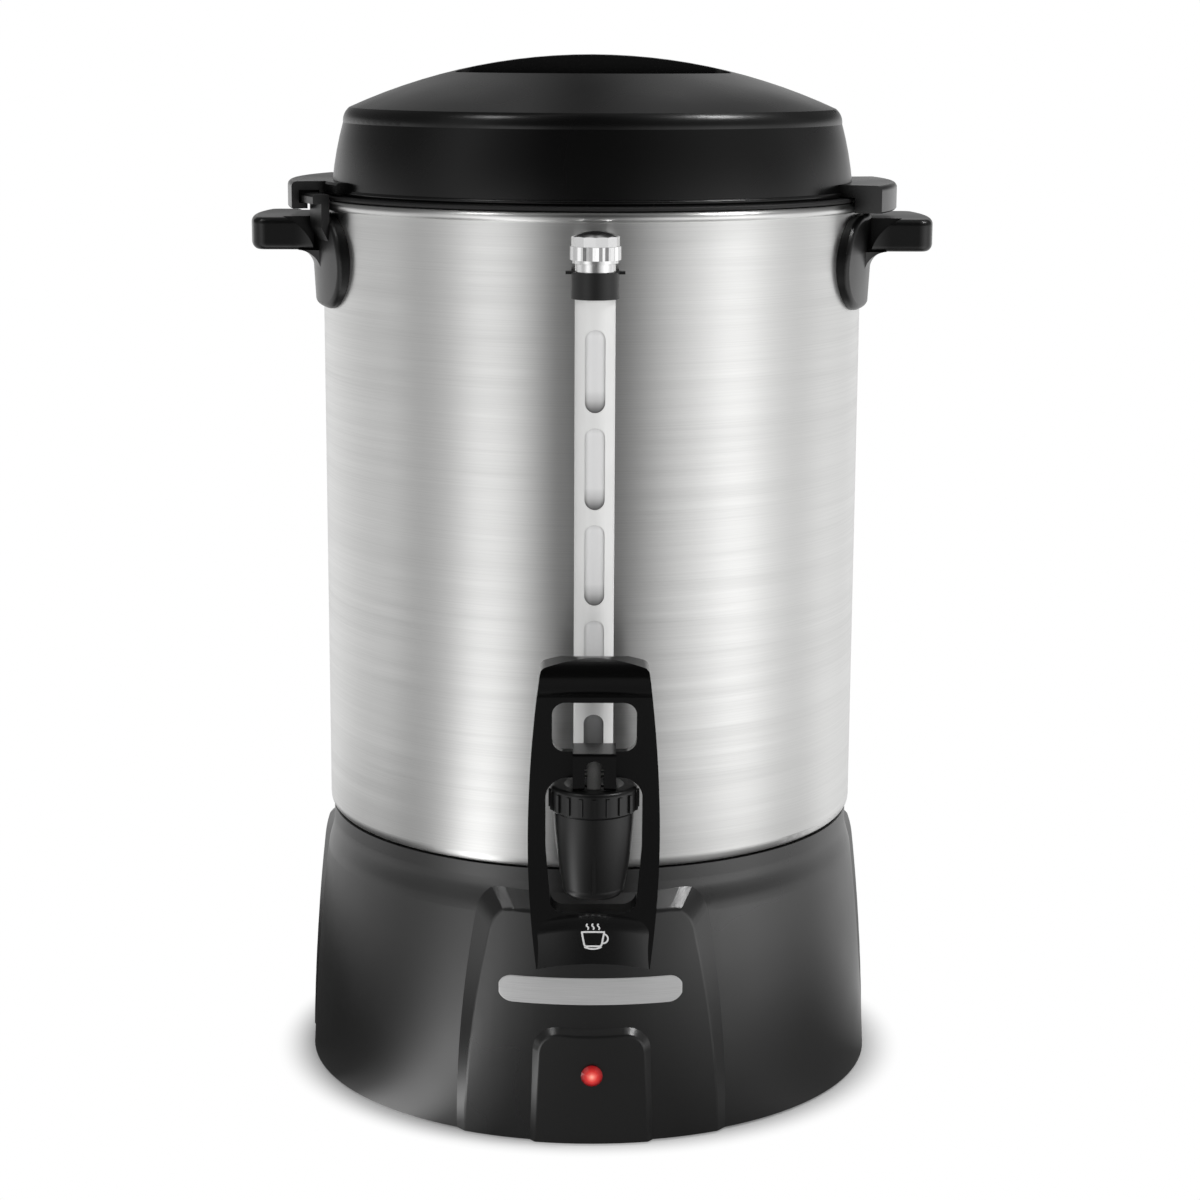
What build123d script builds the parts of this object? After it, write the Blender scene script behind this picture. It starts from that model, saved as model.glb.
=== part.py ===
from build123d import *
from math import cos, radians, sin, sqrt
import os

# Sixty-cup percolating coffee urn, millimetres, +Z up, tap toward -Y, origin on the tank's axis at
# the height of the surface that the urn stands on. Angles run anticlockwise from +X, seen from above.

# ---- driving dimensions -----------------------------------------------------------------------
FRONT = -90                  # direction of the tap, degrees
FOOT_LIFT = 1.0              # daylight between the base's bottom edge and the table
RUN = 0.3                    # clearance between pieces that lift apart or rub
SEAT = 0.05                  # clearance between pieces that are fastened together

TANK_R = 120.0               # drawn aluminium tank
TANK_WALL = 1.2
TANK_BOTTOM_Z = 118.0
TANK_H = 277.0
TANK_CORNER_R = 5.0
BEAD_R = 2.0                 # rolled bead round the rim

BASE_EDGE_OUT = 9.6          # moulded base; how far its side stands out past the tank's wall
BASE_WAIST_OUT = 6.5
BASE_SHOULDER_OUT = 1.6
BASE_NECK_IN = 1.4
BASE_WALL = 2.8
SHOULDER_DROP = 20.5         # below the tank's bottom
NECK_DROP = 6.0
SHELF_WIDTH = 20.0           # shelf that the tank stands on
SHELF_T = 3.0

ARCH_COUNT = 3               # raised arches on the base, one of them at the front
ARCH_BOTTOM_OUT = 12.0       # past the tank's wall, at the foot and at the crown
ARCH_TOP_OUT = 6.0
ARCH_CROWN_DROP = 3.7        # the outline where its sides start, at the root depth
ARCH_SPRING_DROP = 10.0
ARCH_HALF_BOTTOM = 62.2
ARCH_HALF_MIDDLE = 57.6
ARCH_HALF_TOP = 47.5
ARCH_CORNER_R = 15.0
ARCH_ROOT = 9.2              # depth of the root behind the tank's wall
ARCH_DRAFT = 38.0
ARCH_EDGE_R = 2.4
LAMP_PAD_OUT = 14.4          # small pad round the indicator, on the front arch
LAMP_PAD_TOP_Z = 53.0
LAMP_PAD_HALF_BOTTOM = 29.0
LAMP_PAD_HALF_TOP = 25.0
LAMP_PAD_CORNER_R = 12.0
LAMP_PAD_EDGE_R = 1.4
LENS_Z = 31.7
LENS_R = 4.7
LENS_DOME = 2.6
LENS_LIP = 0.7                # the dome past its barrel
LENS_L = 12.0
LENS_SINK = 0.4               # seat of the dome behind the pad's foot

LID_H = 62.5                 # moulded lid, above the tank's rim
DOME_R = 262.0
DOME_EDGE_IN = 12.2          # dome, skirt and bead, inside the tank's wall
SKIRT_TOP_IN = 9.4
SKIRT_TOP_DROP = 29.7        # below the lid's top
SKIRT_IN = 4.2
LID_WALL = 2.6
SKIRT_BEAD_IN = 2.6
SKIRT_BEAD_H = 2.0
SEAL_OUT = 1.2               # black seal ring between lid and rim
SEAL_H = 1.9
SPIGOT_T = 2.4
SPIGOT_DEPTH = 7.0           # how far the lid reaches into the tank
SPIGOT_GAP = 3.6
RECESS_R = 63.6              # finger scoops either side of the grip bar
RECESS_DEPTH = 25.5
RECESS_CORNER_R = 8.0
GRIP_BAR_T = 22.0

EAR_OUT = 15.3               # lock ears on the lid; angles from the middle of the handle
EAR_TOP_T = 3.8
EAR_RISE = 8.0               # ear top above the rim
EAR_DROP = 3.8               # ear bottom below the rim
EAR_WALL = 3.2
EAR_CORNER_R = 2.4
EAR_CLOSED_ANGLE = -24.3
EAR_MOUTH_ANGLE = 14.5
EAR_BAND_OUT = 1.2
EAR_BAND_ANGLE = 24.5
EAR_STOP_ANGLE = 4.8
LIP_W = 3.8
LIP_T = 2.4
CATCH_OUT = 11.4             # catch on each handle, which the ear's lip turns under
CATCH_POST_T = 3.6
CATCH_NOSE_T = 4.0
CATCH_GAP = 1.0
CATCH_FOOT_DROP = 13.0
CATCH_START_ANGLE = 15.2
CATCH_END_ANGLE = 24.0

GRIP_OUT = 31.4              # moulded handles
GRIP_T = 14.0
GRIP_DROP = 7.6              # grip top below the rim
GRIP_HALF = 34.5
GRIP_FLARE = 26.0            # where the grip starts to widen toward the tank
GRIP_CORNER_R = 6.0
GRIP_EDGE_R = 2.8
GRIP_ROOT_R = 8.0
LEG_T = 4.7
LEG_TOE_T = 3.4
LEG_DROP = 5.1               # leg top below the rim
LEG_H = 41.4
LEG_HALF = 60.0
LEG_EDGE_R = 2.6
SHOULDER_W = 13.5            # hollow shoulders either side of the grip's root
SHOULDER_DEPTH = 14.0
SHOULDER_ANGLE = 10.5
HANDLE_SCREW_ANGLE = 6.5
INSERT_R = 3.0
INSERT_L = 9.0

FAUCET_OUT = 45.0            # faucet, past the tank's wall
SHANK_RISE = 24.0            # above the tank's bottom
SHANK_R = 8.0
SHANK_BORE_R = 5.0
SHANK_IN = 18.0              # how far the shank reaches into the tank
SHANK_FLANGE_R = 14.0
SHANK_FLANGE_GAP = 3.0
SHANK_NUT_R = 14.5
SHANK_NUT_L = 7.0
SPOUT_DROP = 19.6            # spout, below and above the shank
SPOUT_RISE = 16.0
SPOUT_BOTTOM_R = 9.6
SPOUT_BELLY_R = 15.0
SPOUT_TOP_R = 16.4
SPOUT_LIP_R = 4.0
OUTLET_R = 6.0
CHAMBER_R = 11.0
VALVE_SEAT_DROP = 8.0
THREAD_R = 14.6
THREAD_H = 5.0
CUP_FLANGE_T = 1.7
BONNET_R = 17.6
BONNET_RIB = 0.8
BONNET_RIB_W = 1.6
BONNET_RIBS = 20
BONNET_H = 9.7
BONNET_CROWN = 1.0
BONNET_DISH_R = 12.0
BONNET_DISH = 1.6
STEM_R = 4.0

PIN_RISE = 31.0              # press lever; the pin above the shank
PIN_R = 1.5
PIN_RUN = 0.05
LEVER_RISE = 49.4            # the lever's ends above and below the pin
LEVER_DROP = 84.5
LEVER_HALF_W = 26.8
LEVER_SKIN = 4.6
LEVER_DEPTH = 12.0
LEVER_FLANGE = 2.8
HOOD_ROLL = 9.4              # hood's roll, ahead of the pin
HOOD_NOTCH_RISE = 34.8
LEVER_FRONT = [              # the lever's front under the hood, behind and above the pin
    (1 - HOOD_ROLL, HOOD_NOTCH_RISE - 1.3), (-5.0, 3.0), (0.0, -38.0), (4.0, -64.0), (4.4, -LEVER_DROP)]
LEVER_HEAD_IN = 5.2          # the lever's outline, inside its greatest half width
LEVER_HEAD_DROP = 3.4
LEVER_NECK_IN = 3.8
LEVER_WIDEST_DROP = 31.0
LEVER_FOOT_IN = 3.4
WINDOW_W = 34.0
WINDOW_H = 20.6
WINDOW_RISE = 21.0
WINDOW_CORNER_R = 5.2
GATE_HALF_W = 19.6           # lower opening, which the faucet stands in
GATE_DRAFT = 2.2
GATE_DROP = 60.0
GATE_TOP_DROP = 0.4
GATE_CORNER_R = 6.0
GATE_CROWN_R = 9.0
CUP_R = 44.0                 # hollow in the press pad, for a cup
CUP_BLEND_R = 10.0
PAD_T = 5.5
YOKE_W = 17.4
YOKE_SLOT_W = 7.6
YOKE_REACH = 13.0            # heel of the yoke ahead of the pin
YOKE_BACK = 6.0
YOKE_RISE = 11.4
YOKE_ROOF = 3.0
BLADE_W = 5.6
BLADE_RISE = 7.0

GAUGE_OUT = 14.0             # sight gauge, past the tank's wall
TUBE_R = 6.9
TUBE_WALL = 1.5
GAUGE_WASHER_T = 1.5
TUBE_TOP_DROP = 16.0         # glass top below the rim, its foot above the shank
TUBE_RISE = 9.5
SOCKET_RISE = 24.0
SHIELD_R = 8.2
SHIELD_T = 0.8
SLOT_W = 8.2
SLOT_H = 33.4
SLOT_PITCH = 39.5
SLOT_TOP_DROP = 11.9         # first slot below the clip
SLOT_COUNT = 5
CLIP_T = 1.5
CLIP_DROP = 6.6              # clip below the top of the glass
CLIP_H = 10.7
CLIP_EAR_R = 12.0
CAP_R = 9.4
CAP_RISE = 10.0
CAP_H = 13.1
FITTING_RISE = 4.0           # collar past the glass, under the cap
KNURL_R = 10.3
KNURL_RISE = 1.3
KNURL_H = 5.4
KNURLS = 24

WELL_R = 17.0                # heating well and the parts under the tank
WELL_DROP = 17.0
WELL_FLANGE_R = 26.0
METAL_T = 1.2
GASKET_T = 1.2
HEATER_T = 6.0
HEATER_H = 12.0
NUT_H = 5.5
WARMER_RING_R = 68.0
WARMER_R = 3.5
WARMER_DROP = 16.0
STUD_R = 2.5
STUD_DROP = 12.0
STUD_NUT_R = 4.6
STUD_NUT_H = 4.0
THERMOSTAT_R = 9.0
THERMOSTAT_H = 8.0
THERMOSTAT_X = 46.0
FUSE_R = 2.2
FUSE_L = 13.0

LIFT_TUBE_R = 4.8            # percolating parts
LIFT_TUBE_WALL = 0.8
LIFT_TUBE_RISE = 20.0        # above the basket
BELL_R = 15.4
BELL_H = 14.0
COLLAR_W = 3.5
BASKET_R = 82.0
BASKET_DROP = 23.0           # basket top below the tank's rim
BASKET_H = 72.0
BASKET_WALL = 1.0
BASKET_CORNER_R = 4.0
HUB_WALL = 1.2
COVER_RIM_H = 5.0
PERFORATION_W = 2.0
PERFORATION_L = 12.0
PERFORATIONS = 16

PLATE_Z = 3.0                # bottom plate, feet and inlet
PLATE_T = 1.2
PLATE_GAP = 1.3
VENT_R = 60.0
VENT_L = 36.0
VENT_W = 4.0
FOOT_R = 10.0
FOOT_RING_IN = 25.6          # inside the base's bottom edge
SCREW_R = 2.0
SCREW_HEAD_R = 4.0
SCREW_HEAD_T = 2.0
BOSS_R = 5.5
BOSS_H = 18.0
BOSS_RING_IN = 8.1
INLET_Z = 40.0
INLET_W = 24.3
INLET_H = 16.5
INLET_DEPTH = 17.0
INLET_WALL = 1.5
INLET_BACK_T = 2.5
INLET_KEY = 4.0
INLET_FLANGE_W = 32.0
INLET_FLANGE_H = 24.0
INLET_FLANGE_T = 2.2
INLET_SINK = 0.6             # flange seat behind the base's waist
BLADE_PIN_W = 2.0
BLADE_PIN_H = 4.0
BLADE_PITCH = 7.0
BLADE_RISE_OUTER = 1.5
BLADE_DROP_EARTH = 2.5
TERMINAL_W = 34.0
TERMINAL_D = 14.0
TERMINAL_H = 12.0
TERMINAL_Y = 55.0

# ---- values that follow from them -------------------------------------------------------------
TANK_IN_R = TANK_R - TANK_WALL
TANK_RIM_Z = TANK_BOTTOM_Z + TANK_H
TANK_FLOOR_Z = TANK_BOTTOM_Z + TANK_WALL
BEAD_Z = TANK_RIM_Z - BEAD_R
BEAD_OUT_R = TANK_IN_R + 2 * BEAD_R
BASE_EDGE_R = TANK_R + BASE_EDGE_OUT
BASE_WAIST_R = TANK_R + BASE_WAIST_OUT
BASE_SHOULDER_R = TANK_R + BASE_SHOULDER_OUT
BASE_NECK_R = TANK_R - BASE_NECK_IN
SHOULDER_Z = TANK_BOTTOM_Z - SHOULDER_DROP
NECK_Z = TANK_BOTTOM_Z - NECK_DROP
SHELF_Z = TANK_BOTTOM_Z - SHELF_T
ARCH_CROWN_Z = TANK_BOTTOM_Z - ARCH_CROWN_DROP
ARCH_SPRING_Z = TANK_BOTTOM_Z - ARCH_SPRING_DROP
LAMP_PAD_R = TANK_R + LAMP_PAD_OUT
STUD_RING_R = BASE_NECK_R - SHELF_WIDTH * 0.6
FOOT_RING_R = BASE_EDGE_R - FOOT_RING_IN
BOSS_RING_R = BASE_EDGE_R - BOSS_RING_IN
STUD_ANGLES = [FRONT + k * 120 for k in range(3)]
ARCH_ANGLES = [k * 360 / ARCH_COUNT for k in range(ARCH_COUNT)]
BOSS_ANGLES = [FRONT + 60 + k * 120 for k in range(3)]
LID_TOP_Z = TANK_RIM_Z + LID_H
DOME_EDGE_R = TANK_R - DOME_EDGE_IN
SKIRT_TOP_R = TANK_R - SKIRT_TOP_IN
SKIRT_TOP_Z = LID_TOP_Z - SKIRT_TOP_DROP
SKIRT_R = TANK_R - SKIRT_IN
SKIRT_BEAD_R = TANK_R - SKIRT_BEAD_IN
SEAL_R = TANK_R + SEAL_OUT
SEAL_Z = TANK_RIM_Z + RUN
SKIRT_Z = SEAL_Z + SEAL_H + RUN
SPIGOT_R = TANK_IN_R - SPIGOT_GAP
RECESS_FLOOR_Z = LID_TOP_Z - RECESS_DEPTH
EAR_R = TANK_R + EAR_OUT
EAR_TOP_Z = TANK_RIM_Z + EAR_RISE
EAR_BOTTOM_Z = TANK_RIM_Z - EAR_DROP
EAR_IN_R = EAR_R - EAR_WALL
EAR_BAND_R = TANK_R + EAR_BAND_OUT
LIP_R = EAR_IN_R - LIP_W
GRIP_R = TANK_R + GRIP_OUT
GRIP_TOP_Z = TANK_RIM_Z - GRIP_DROP
GRIP_BOTTOM_Z = GRIP_TOP_Z - GRIP_T
LEG_R = TANK_R + LEG_T
LEG_TOP_Z = TANK_RIM_Z - LEG_DROP
LEG_BOTTOM_Z = LEG_TOP_Z - LEG_H
HANDLE_SCREW_Z = GRIP_TOP_Z - GRIP_T / 2
HANDLE_SCREW_ANGLES = [HANDLE_SCREW_ANGLE, -HANDLE_SCREW_ANGLE]
CATCH_R = TANK_R + CATCH_OUT
CATCH_TOP_Z = EAR_TOP_Z - EAR_TOP_T - CATCH_GAP
FAUCET_Y = -TANK_R - FAUCET_OUT
GAUGE_Y = -TANK_R - GAUGE_OUT
SHANK_Z = TANK_BOTTOM_Z + SHANK_RISE
SHANK_END_Y = SHANK_IN - TANK_R
SHANK_FLANGE_Y = -TANK_R - SHANK_FLANGE_GAP
SHANK_NUT_Y = SHANK_FLANGE_GAP - TANK_IN_R
SPOUT_BOTTOM_Z = SHANK_Z - SPOUT_DROP
SPOUT_TOP_Z = SHANK_Z + SPOUT_RISE
VALVE_SEAT_Z = SHANK_Z - VALVE_SEAT_DROP
THREAD_TOP_Z = SPOUT_TOP_Z + THREAD_H
BONNET_Z = SPOUT_TOP_Z + RUN
BONNET_TOP_Z = BONNET_Z + BONNET_H
HEEL_Z = BONNET_TOP_Z + BONNET_CROWN + RUN
PIN_Z = SHANK_Z + PIN_RISE
LEVER_TOP_Z = PIN_Z + LEVER_RISE
LEVER_BOTTOM_Z = PIN_Z - LEVER_DROP
WINDOW_Z = PIN_Z + WINDOW_RISE
GATE_BOTTOM_Z = PIN_Z - GATE_DROP
YOKE_TOP_Z = PIN_Z + YOKE_RISE
TUBE_TOP_Z = TANK_RIM_Z - TUBE_TOP_DROP
SOCKET_TOP_Z = SHANK_Z + SOCKET_RISE
TUBE_BOTTOM_Z = SHANK_Z + TUBE_RISE
CLIP_R = SHIELD_R + CLIP_T
CLIP_TOP_Z = TUBE_TOP_Z - CLIP_DROP
CLIP_BOTTOM_Z = CLIP_TOP_Z - CLIP_H
CLIP_SCREW_Z = (CLIP_TOP_Z + CLIP_BOTTOM_Z) / 2
SLOT_TOP_Z = CLIP_BOTTOM_Z - SLOT_TOP_DROP
CAP_TOP_Z = TUBE_TOP_Z + CAP_RISE
FITTING_TOP_Z = TUBE_TOP_Z + FITTING_RISE
CAP_BOTTOM_Z = CAP_TOP_Z - CAP_H
KNURL_BOTTOM_Z = CAP_BOTTOM_Z + KNURL_RISE
KNURL_TOP_Z = KNURL_BOTTOM_Z + KNURL_H
WELL_BOTTOM_Z = TANK_BOTTOM_Z - WELL_DROP
BASKET_TOP_Z = TANK_RIM_Z - BASKET_DROP
BASKET_BOTTOM_Z = BASKET_TOP_Z - BASKET_H
LIFT_TUBE_TOP_Z = BASKET_TOP_Z + LIFT_TUBE_RISE
INLET_FACE_Y = BASE_WAIST_R - INLET_SINK
INLET_BACK_Y = INLET_FACE_Y + INLET_FLANGE_T - INLET_DEPTH - INLET_BACK_T
INLET_PINS = [(-BLADE_PITCH, BLADE_RISE_OUTER), (0, -BLADE_DROP_EARTH), (BLADE_PITCH, BLADE_RISE_OUTER)]

parts = {}


def polar(radius, angle):
    """Point at a radius and an angle about the tank's axis."""
    return (radius * cos(radians(angle)), radius * sin(radians(angle)))


def path(*points):
    """Straight edges through some points, for use among a profile's arcs."""
    return [Line(a, b) for a, b in zip(points, points[1:])]


def turned(edges, arc=360.0, start=0.0):
    """Revolve a closed outline of (radius, z) edges about the tank's axis."""
    section = Plane.XZ * make_face(edges)
    return Rot(0, 0, start) * revolve(section, Axis.Z, arc)


def lathe(*points, arc=360.0, start=0.0):
    """Revolve a closed polygon of (radius, z) points about the tank's axis."""
    return turned(path(*points, points[0]), arc, start)


def rod(radius, bottom, top, at=(0, 0)):
    """Upright cylinder between two heights."""
    return Pos(at[0], at[1], bottom) * extrude(Circle(radius), top - bottom)


def tube(inner, outer, bottom, top, at=(0, 0)):
    """Upright tube between two heights."""
    return Pos(at[0], at[1], bottom) * extrude(Circle(outer) - Circle(inner), top - bottom)


def along_y(sketch, start, end, x=0.0, z=0.0):
    """Extrude a sketch drawn in (x, z) along Y from one station to another."""
    return Pos(x, end, z) * extrude(Plane.XZ * sketch, end - start)


def radial(sketch, start, end, angle, z):
    """Extrude a sketch outward from the tank's axis, between two radii at one angle and height."""
    return Rot(0, 0, angle) * Pos(start, 0, z) * extrude(Plane.YZ * sketch, end - start)


def around(piece, angles):
    """Copies of a piece turned about the tank's axis."""
    return [Rot(0, 0, angle) * piece for angle in angles]


def dome_z(radius, inset=0.0):
    """Height of the lid's dome at a radius, for its outside or for the inside of its wall."""
    sphere = DOME_R - inset
    return LID_TOP_Z - DOME_R + sqrt(sphere ** 2 - radius ** 2)


# ---- tank -------------------------------------------------------------------------------------
def tank_shell():
    """Drawn tank with a rolled rim, bored for the faucet, gauge clip and handles, studs below."""
    corner_in = TANK_CORNER_R - TANK_WALL
    bend = TANK_CORNER_R * (1 - sqrt(0.5))
    bend_in = corner_in * (1 - sqrt(0.5))
    hole = WELL_R + SEAT
    bead_mid_r = TANK_IN_R + BEAD_R
    roll_z = BEAD_Z - sqrt(BEAD_R ** 2 - (TANK_R - bead_mid_r) ** 2)
    shell = turned([
        *path((hole, TANK_FLOOR_Z), (hole, TANK_BOTTOM_Z), (TANK_R - TANK_CORNER_R, TANK_BOTTOM_Z)),
        ThreePointArc((TANK_R - TANK_CORNER_R, TANK_BOTTOM_Z), (TANK_R - bend, TANK_BOTTOM_Z + bend),
                      (TANK_R, TANK_BOTTOM_Z + TANK_CORNER_R)),
        Line((TANK_R, TANK_BOTTOM_Z + TANK_CORNER_R), (TANK_R, roll_z)),
        ThreePointArc((TANK_R, roll_z), (BEAD_OUT_R, BEAD_Z), (bead_mid_r, TANK_RIM_Z)),
        ThreePointArc((bead_mid_r, TANK_RIM_Z), (bead_mid_r - BEAD_R * sqrt(0.5), BEAD_Z + BEAD_R * sqrt(0.5)),
                      (TANK_IN_R, BEAD_Z)),
        Line((TANK_IN_R, BEAD_Z), (TANK_IN_R, TANK_FLOOR_Z + corner_in)),
        ThreePointArc((TANK_IN_R, TANK_FLOOR_Z + corner_in), (TANK_IN_R - bend_in, TANK_FLOOR_Z + bend_in),
                      (TANK_IN_R - corner_in, TANK_FLOOR_Z)),
        Line((TANK_IN_R - corner_in, TANK_FLOOR_Z), (hole, TANK_FLOOR_Z))])
    wall_in, wall_out = TANK_R - 10, TANK_R + 10
    shell -= radial(Circle(SHANK_R + SEAT), wall_in, wall_out, FRONT, SHANK_Z)
    shell -= radial(Circle(SCREW_R + SEAT), wall_in, wall_out, FRONT, CLIP_SCREW_Z)
    for side in (0, 180):
        for angle in HANDLE_SCREW_ANGLES:
            shell -= radial(Circle(SCREW_R + SEAT), wall_in, wall_out, side + angle, HANDLE_SCREW_Z)
    for angle in STUD_ANGLES:
        shell += rod(STUD_R, TANK_BOTTOM_Z - STUD_DROP, TANK_FLOOR_Z, polar(STUD_RING_R, angle))
    return shell


# ---- base -------------------------------------------------------------------------------------
def base_side(inset):
    """Side of the base from its bottom edge up to the neck, moved in by the inset."""
    side = ThreePointArc((BASE_EDGE_R - inset, FOOT_LIFT), (BASE_WAIST_R - inset, SHOULDER_Z / 2),
                         (BASE_SHOULDER_R - inset, SHOULDER_Z))
    shoulder = Spline((BASE_SHOULDER_R - inset, SHOULDER_Z), (BASE_NECK_R - inset, NECK_Z),
                      tangents=(side % 1, (0, 1)))
    return [side, shoulder]


def arch(inset):
    """One raised arch at the front, with drafted sides; an inset gives the hollow behind it."""
    foot_r, crown_r = TANK_R + ARCH_BOTTOM_OUT - inset, TANK_R + ARCH_TOP_OUT - inset
    root_r, crown_z, spring_z = BASE_NECK_R - 8, ARCH_CROWN_Z - inset, ARCH_SPRING_Z - inset
    section = turned([
        ThreePointArc((foot_r, FOOT_LIFT), ((foot_r + crown_r) / 2 + 0.8, crown_z / 2), (crown_r, crown_z)),
        *path((crown_r, crown_z), (root_r, crown_z), (root_r, FOOT_LIFT), (foot_r, FOOT_LIFT)),
    ], 90, FRONT - 45)
    bottom, middle, top = ARCH_HALF_BOTTOM - inset, ARCH_HALF_MIDDLE - inset, ARCH_HALF_TOP - inset
    below = -ARCH_ROOT * 2
    face = make_face([
        *path((bottom, FOOT_LIFT), (bottom, below), (-bottom, below), (-bottom, FOOT_LIFT)),
        ThreePointArc((-bottom, FOOT_LIFT), (-middle, spring_z / 2), (-top, spring_z)),
        ThreePointArc((-top, spring_z), (0, crown_z), (top, spring_z)),
        ThreePointArc((top, spring_z), (middle, spring_z / 2), (bottom, FOOT_LIFT))])
    face = fillet(face.vertices().filter_by_position(Axis.Y, spring_z - 1, spring_z + 1), ARCH_CORNER_R)
    drafted = Pos(0, ARCH_ROOT - TANK_R, 0) * extrude(Plane.XZ * face, 3 * ARCH_ROOT, taper=ARCH_DRAFT)
    raised = section & drafted
    return raised if inset else eased(raised, ARCH_EDGE_R)


def eased(raised, size):
    """Round the edge between a raised panel's front and its drafted sides."""
    front = raised.faces().sort_by(Axis.Y)[0]
    rim = [edge for edge in front.edges() if edge.center().Z > 2 * FOOT_LIFT]
    return fillet(rim, size)


def lamp_pad():
    """Small raised pad for the indicator on the front arch."""
    root_r = BASE_NECK_R + 5
    section = lathe((root_r, FOOT_LIFT), (LAMP_PAD_R, FOOT_LIFT), (LAMP_PAD_R - 1.2, LAMP_PAD_TOP_Z),
                    (root_r, LAMP_PAD_TOP_Z), arc=40, start=FRONT - 20)
    bottom, top = LAMP_PAD_HALF_BOTTOM, LAMP_PAD_HALF_TOP
    face = Polygon((-bottom, -20), (bottom, -20), (top, LAMP_PAD_TOP_Z), (-top, LAMP_PAD_TOP_Z), align=None)
    face = fillet(face.vertices().group_by(Axis.Y)[-1], LAMP_PAD_CORNER_R)
    drafted = Pos(0, 2 - BASE_EDGE_R, 0) * extrude(Plane.XZ * face, 12, taper=ARCH_DRAFT)
    return eased(section & drafted, LAMP_PAD_EDGE_R)


def base_housing():
    """Moulded base: side wall, three arches, shelf for the tank, screw bosses and openings."""
    outside = turned(base_side(0) + path(
        (BASE_NECK_R, NECK_Z), (BASE_NECK_R, TANK_BOTTOM_Z), (0, TANK_BOTTOM_Z), (0, FOOT_LIFT),
        (BASE_EDGE_R, FOOT_LIFT)))
    neck_in = BASE_NECK_R - BASE_WALL
    hollow = turned(base_side(BASE_WALL) + path(
        (neck_in, NECK_Z), (neck_in, SHELF_Z), (0, SHELF_Z), (0, FOOT_LIFT),
        (BASE_EDGE_R - BASE_WALL, FOOT_LIFT)))
    for angle in ARCH_ANGLES:
        outside += Rot(0, 0, angle) * arch(0)
        hollow += Rot(0, 0, angle) * arch(BASE_WALL)
    housing = outside + lamp_pad() - hollow
    housing -= rod(BASE_NECK_R - SHELF_WIDTH, SHELF_Z - 1, TANK_BOTTOM_Z + 1)
    for angle in BOSS_ANGLES:
        at = polar(BOSS_RING_R, angle)
        housing += rod(BOSS_R, PLATE_Z + PLATE_T, PLATE_Z + BOSS_H, at) & outside
        housing -= rod(SCREW_R + SEAT, 0, PLATE_Z + BOSS_H - 3, at)
    for angle in STUD_ANGLES:
        housing -= rod(STUD_R + SEAT, SHELF_Z - 1, TANK_BOTTOM_Z + 1, polar(STUD_RING_R, angle))
    housing -= radial(Circle(LENS_R - LENS_LIP + SEAT), BASE_NECK_R - 8, LAMP_PAD_R + 5, FRONT, LENS_Z)
    body = Rectangle(INLET_W + 2 * INLET_WALL + 2 * SEAT, INLET_H + 2 * INLET_WALL + 2 * SEAT)
    flange = Rectangle(INLET_FLANGE_W + 2 * SEAT, INLET_FLANGE_H + 2 * SEAT)
    housing -= along_y(body, INLET_FACE_Y - 20, INLET_FACE_Y + 20, z=INLET_Z)
    housing -= along_y(flange, INLET_FACE_Y, INLET_FACE_Y + 20, z=INLET_Z)
    return housing


def base_plate():
    """Steel plate that closes the base, with vent slots and holes for the feet and screws."""
    plate = rod(BASE_EDGE_R - BASE_WALL - PLATE_GAP, PLATE_Z, PLATE_Z + PLATE_T)
    for angle in BOSS_ANGLES:
        plate -= rod(SCREW_R + SEAT, 0, 10, polar(BOSS_RING_R, angle))
    for angle in STUD_ANGLES:
        plate -= rod(FOOT_R / 2 + SEAT, 0, 10, polar(FOOT_RING_R, angle))
    vent = Pos(0, 0, PLATE_Z - 1) * extrude(Pos(VENT_R, 0) * SlotOverall(VENT_L, VENT_W), PLATE_T + 2)
    return plate - around(vent, range(15, 375, 30))


def base_feet():
    """Rubber feet, pushed through the plate and held by a lip."""
    foot = lathe((0, 0), (FOOT_R - 1, 0), (FOOT_R, 1), (FOOT_R, PLATE_Z), (FOOT_R / 2, PLATE_Z),
                 (FOOT_R / 2, PLATE_Z + PLATE_T), (FOOT_R / 2 + 1.2, PLATE_Z + PLATE_T),
                 (FOOT_R / 2 - 1, PLATE_Z + PLATE_T + 3), (0, PLATE_Z + PLATE_T + 3))
    return [Pos(*polar(FOOT_RING_R, angle), 0) * foot for angle in STUD_ANGLES]


def base_screws():
    """Pan-head screws that hold the plate to the bosses."""
    screw = lathe((0, PLATE_Z - SCREW_HEAD_T), (SCREW_HEAD_R - 0.8, PLATE_Z - SCREW_HEAD_T),
                  (SCREW_HEAD_R, PLATE_Z - 0.8), (SCREW_HEAD_R, PLATE_Z), (SCREW_R, PLATE_Z),
                  (SCREW_R, PLATE_Z + BOSS_H - 6), (0, PLATE_Z + BOSS_H - 6))
    return [Pos(*polar(BOSS_RING_R, angle), 0) * screw for angle in BOSS_ANGLES]


def stud_nuts():
    """Nuts on the tank's studs, under the shelf."""
    ring = RegularPolygon(STUD_NUT_R, 6) - Circle(STUD_R + SEAT)
    nut = Pos(0, 0, SHELF_Z - STUD_NUT_H) * extrude(ring, STUD_NUT_H)
    return [Pos(*polar(STUD_RING_R, angle), 0) * nut for angle in STUD_ANGLES]


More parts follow.
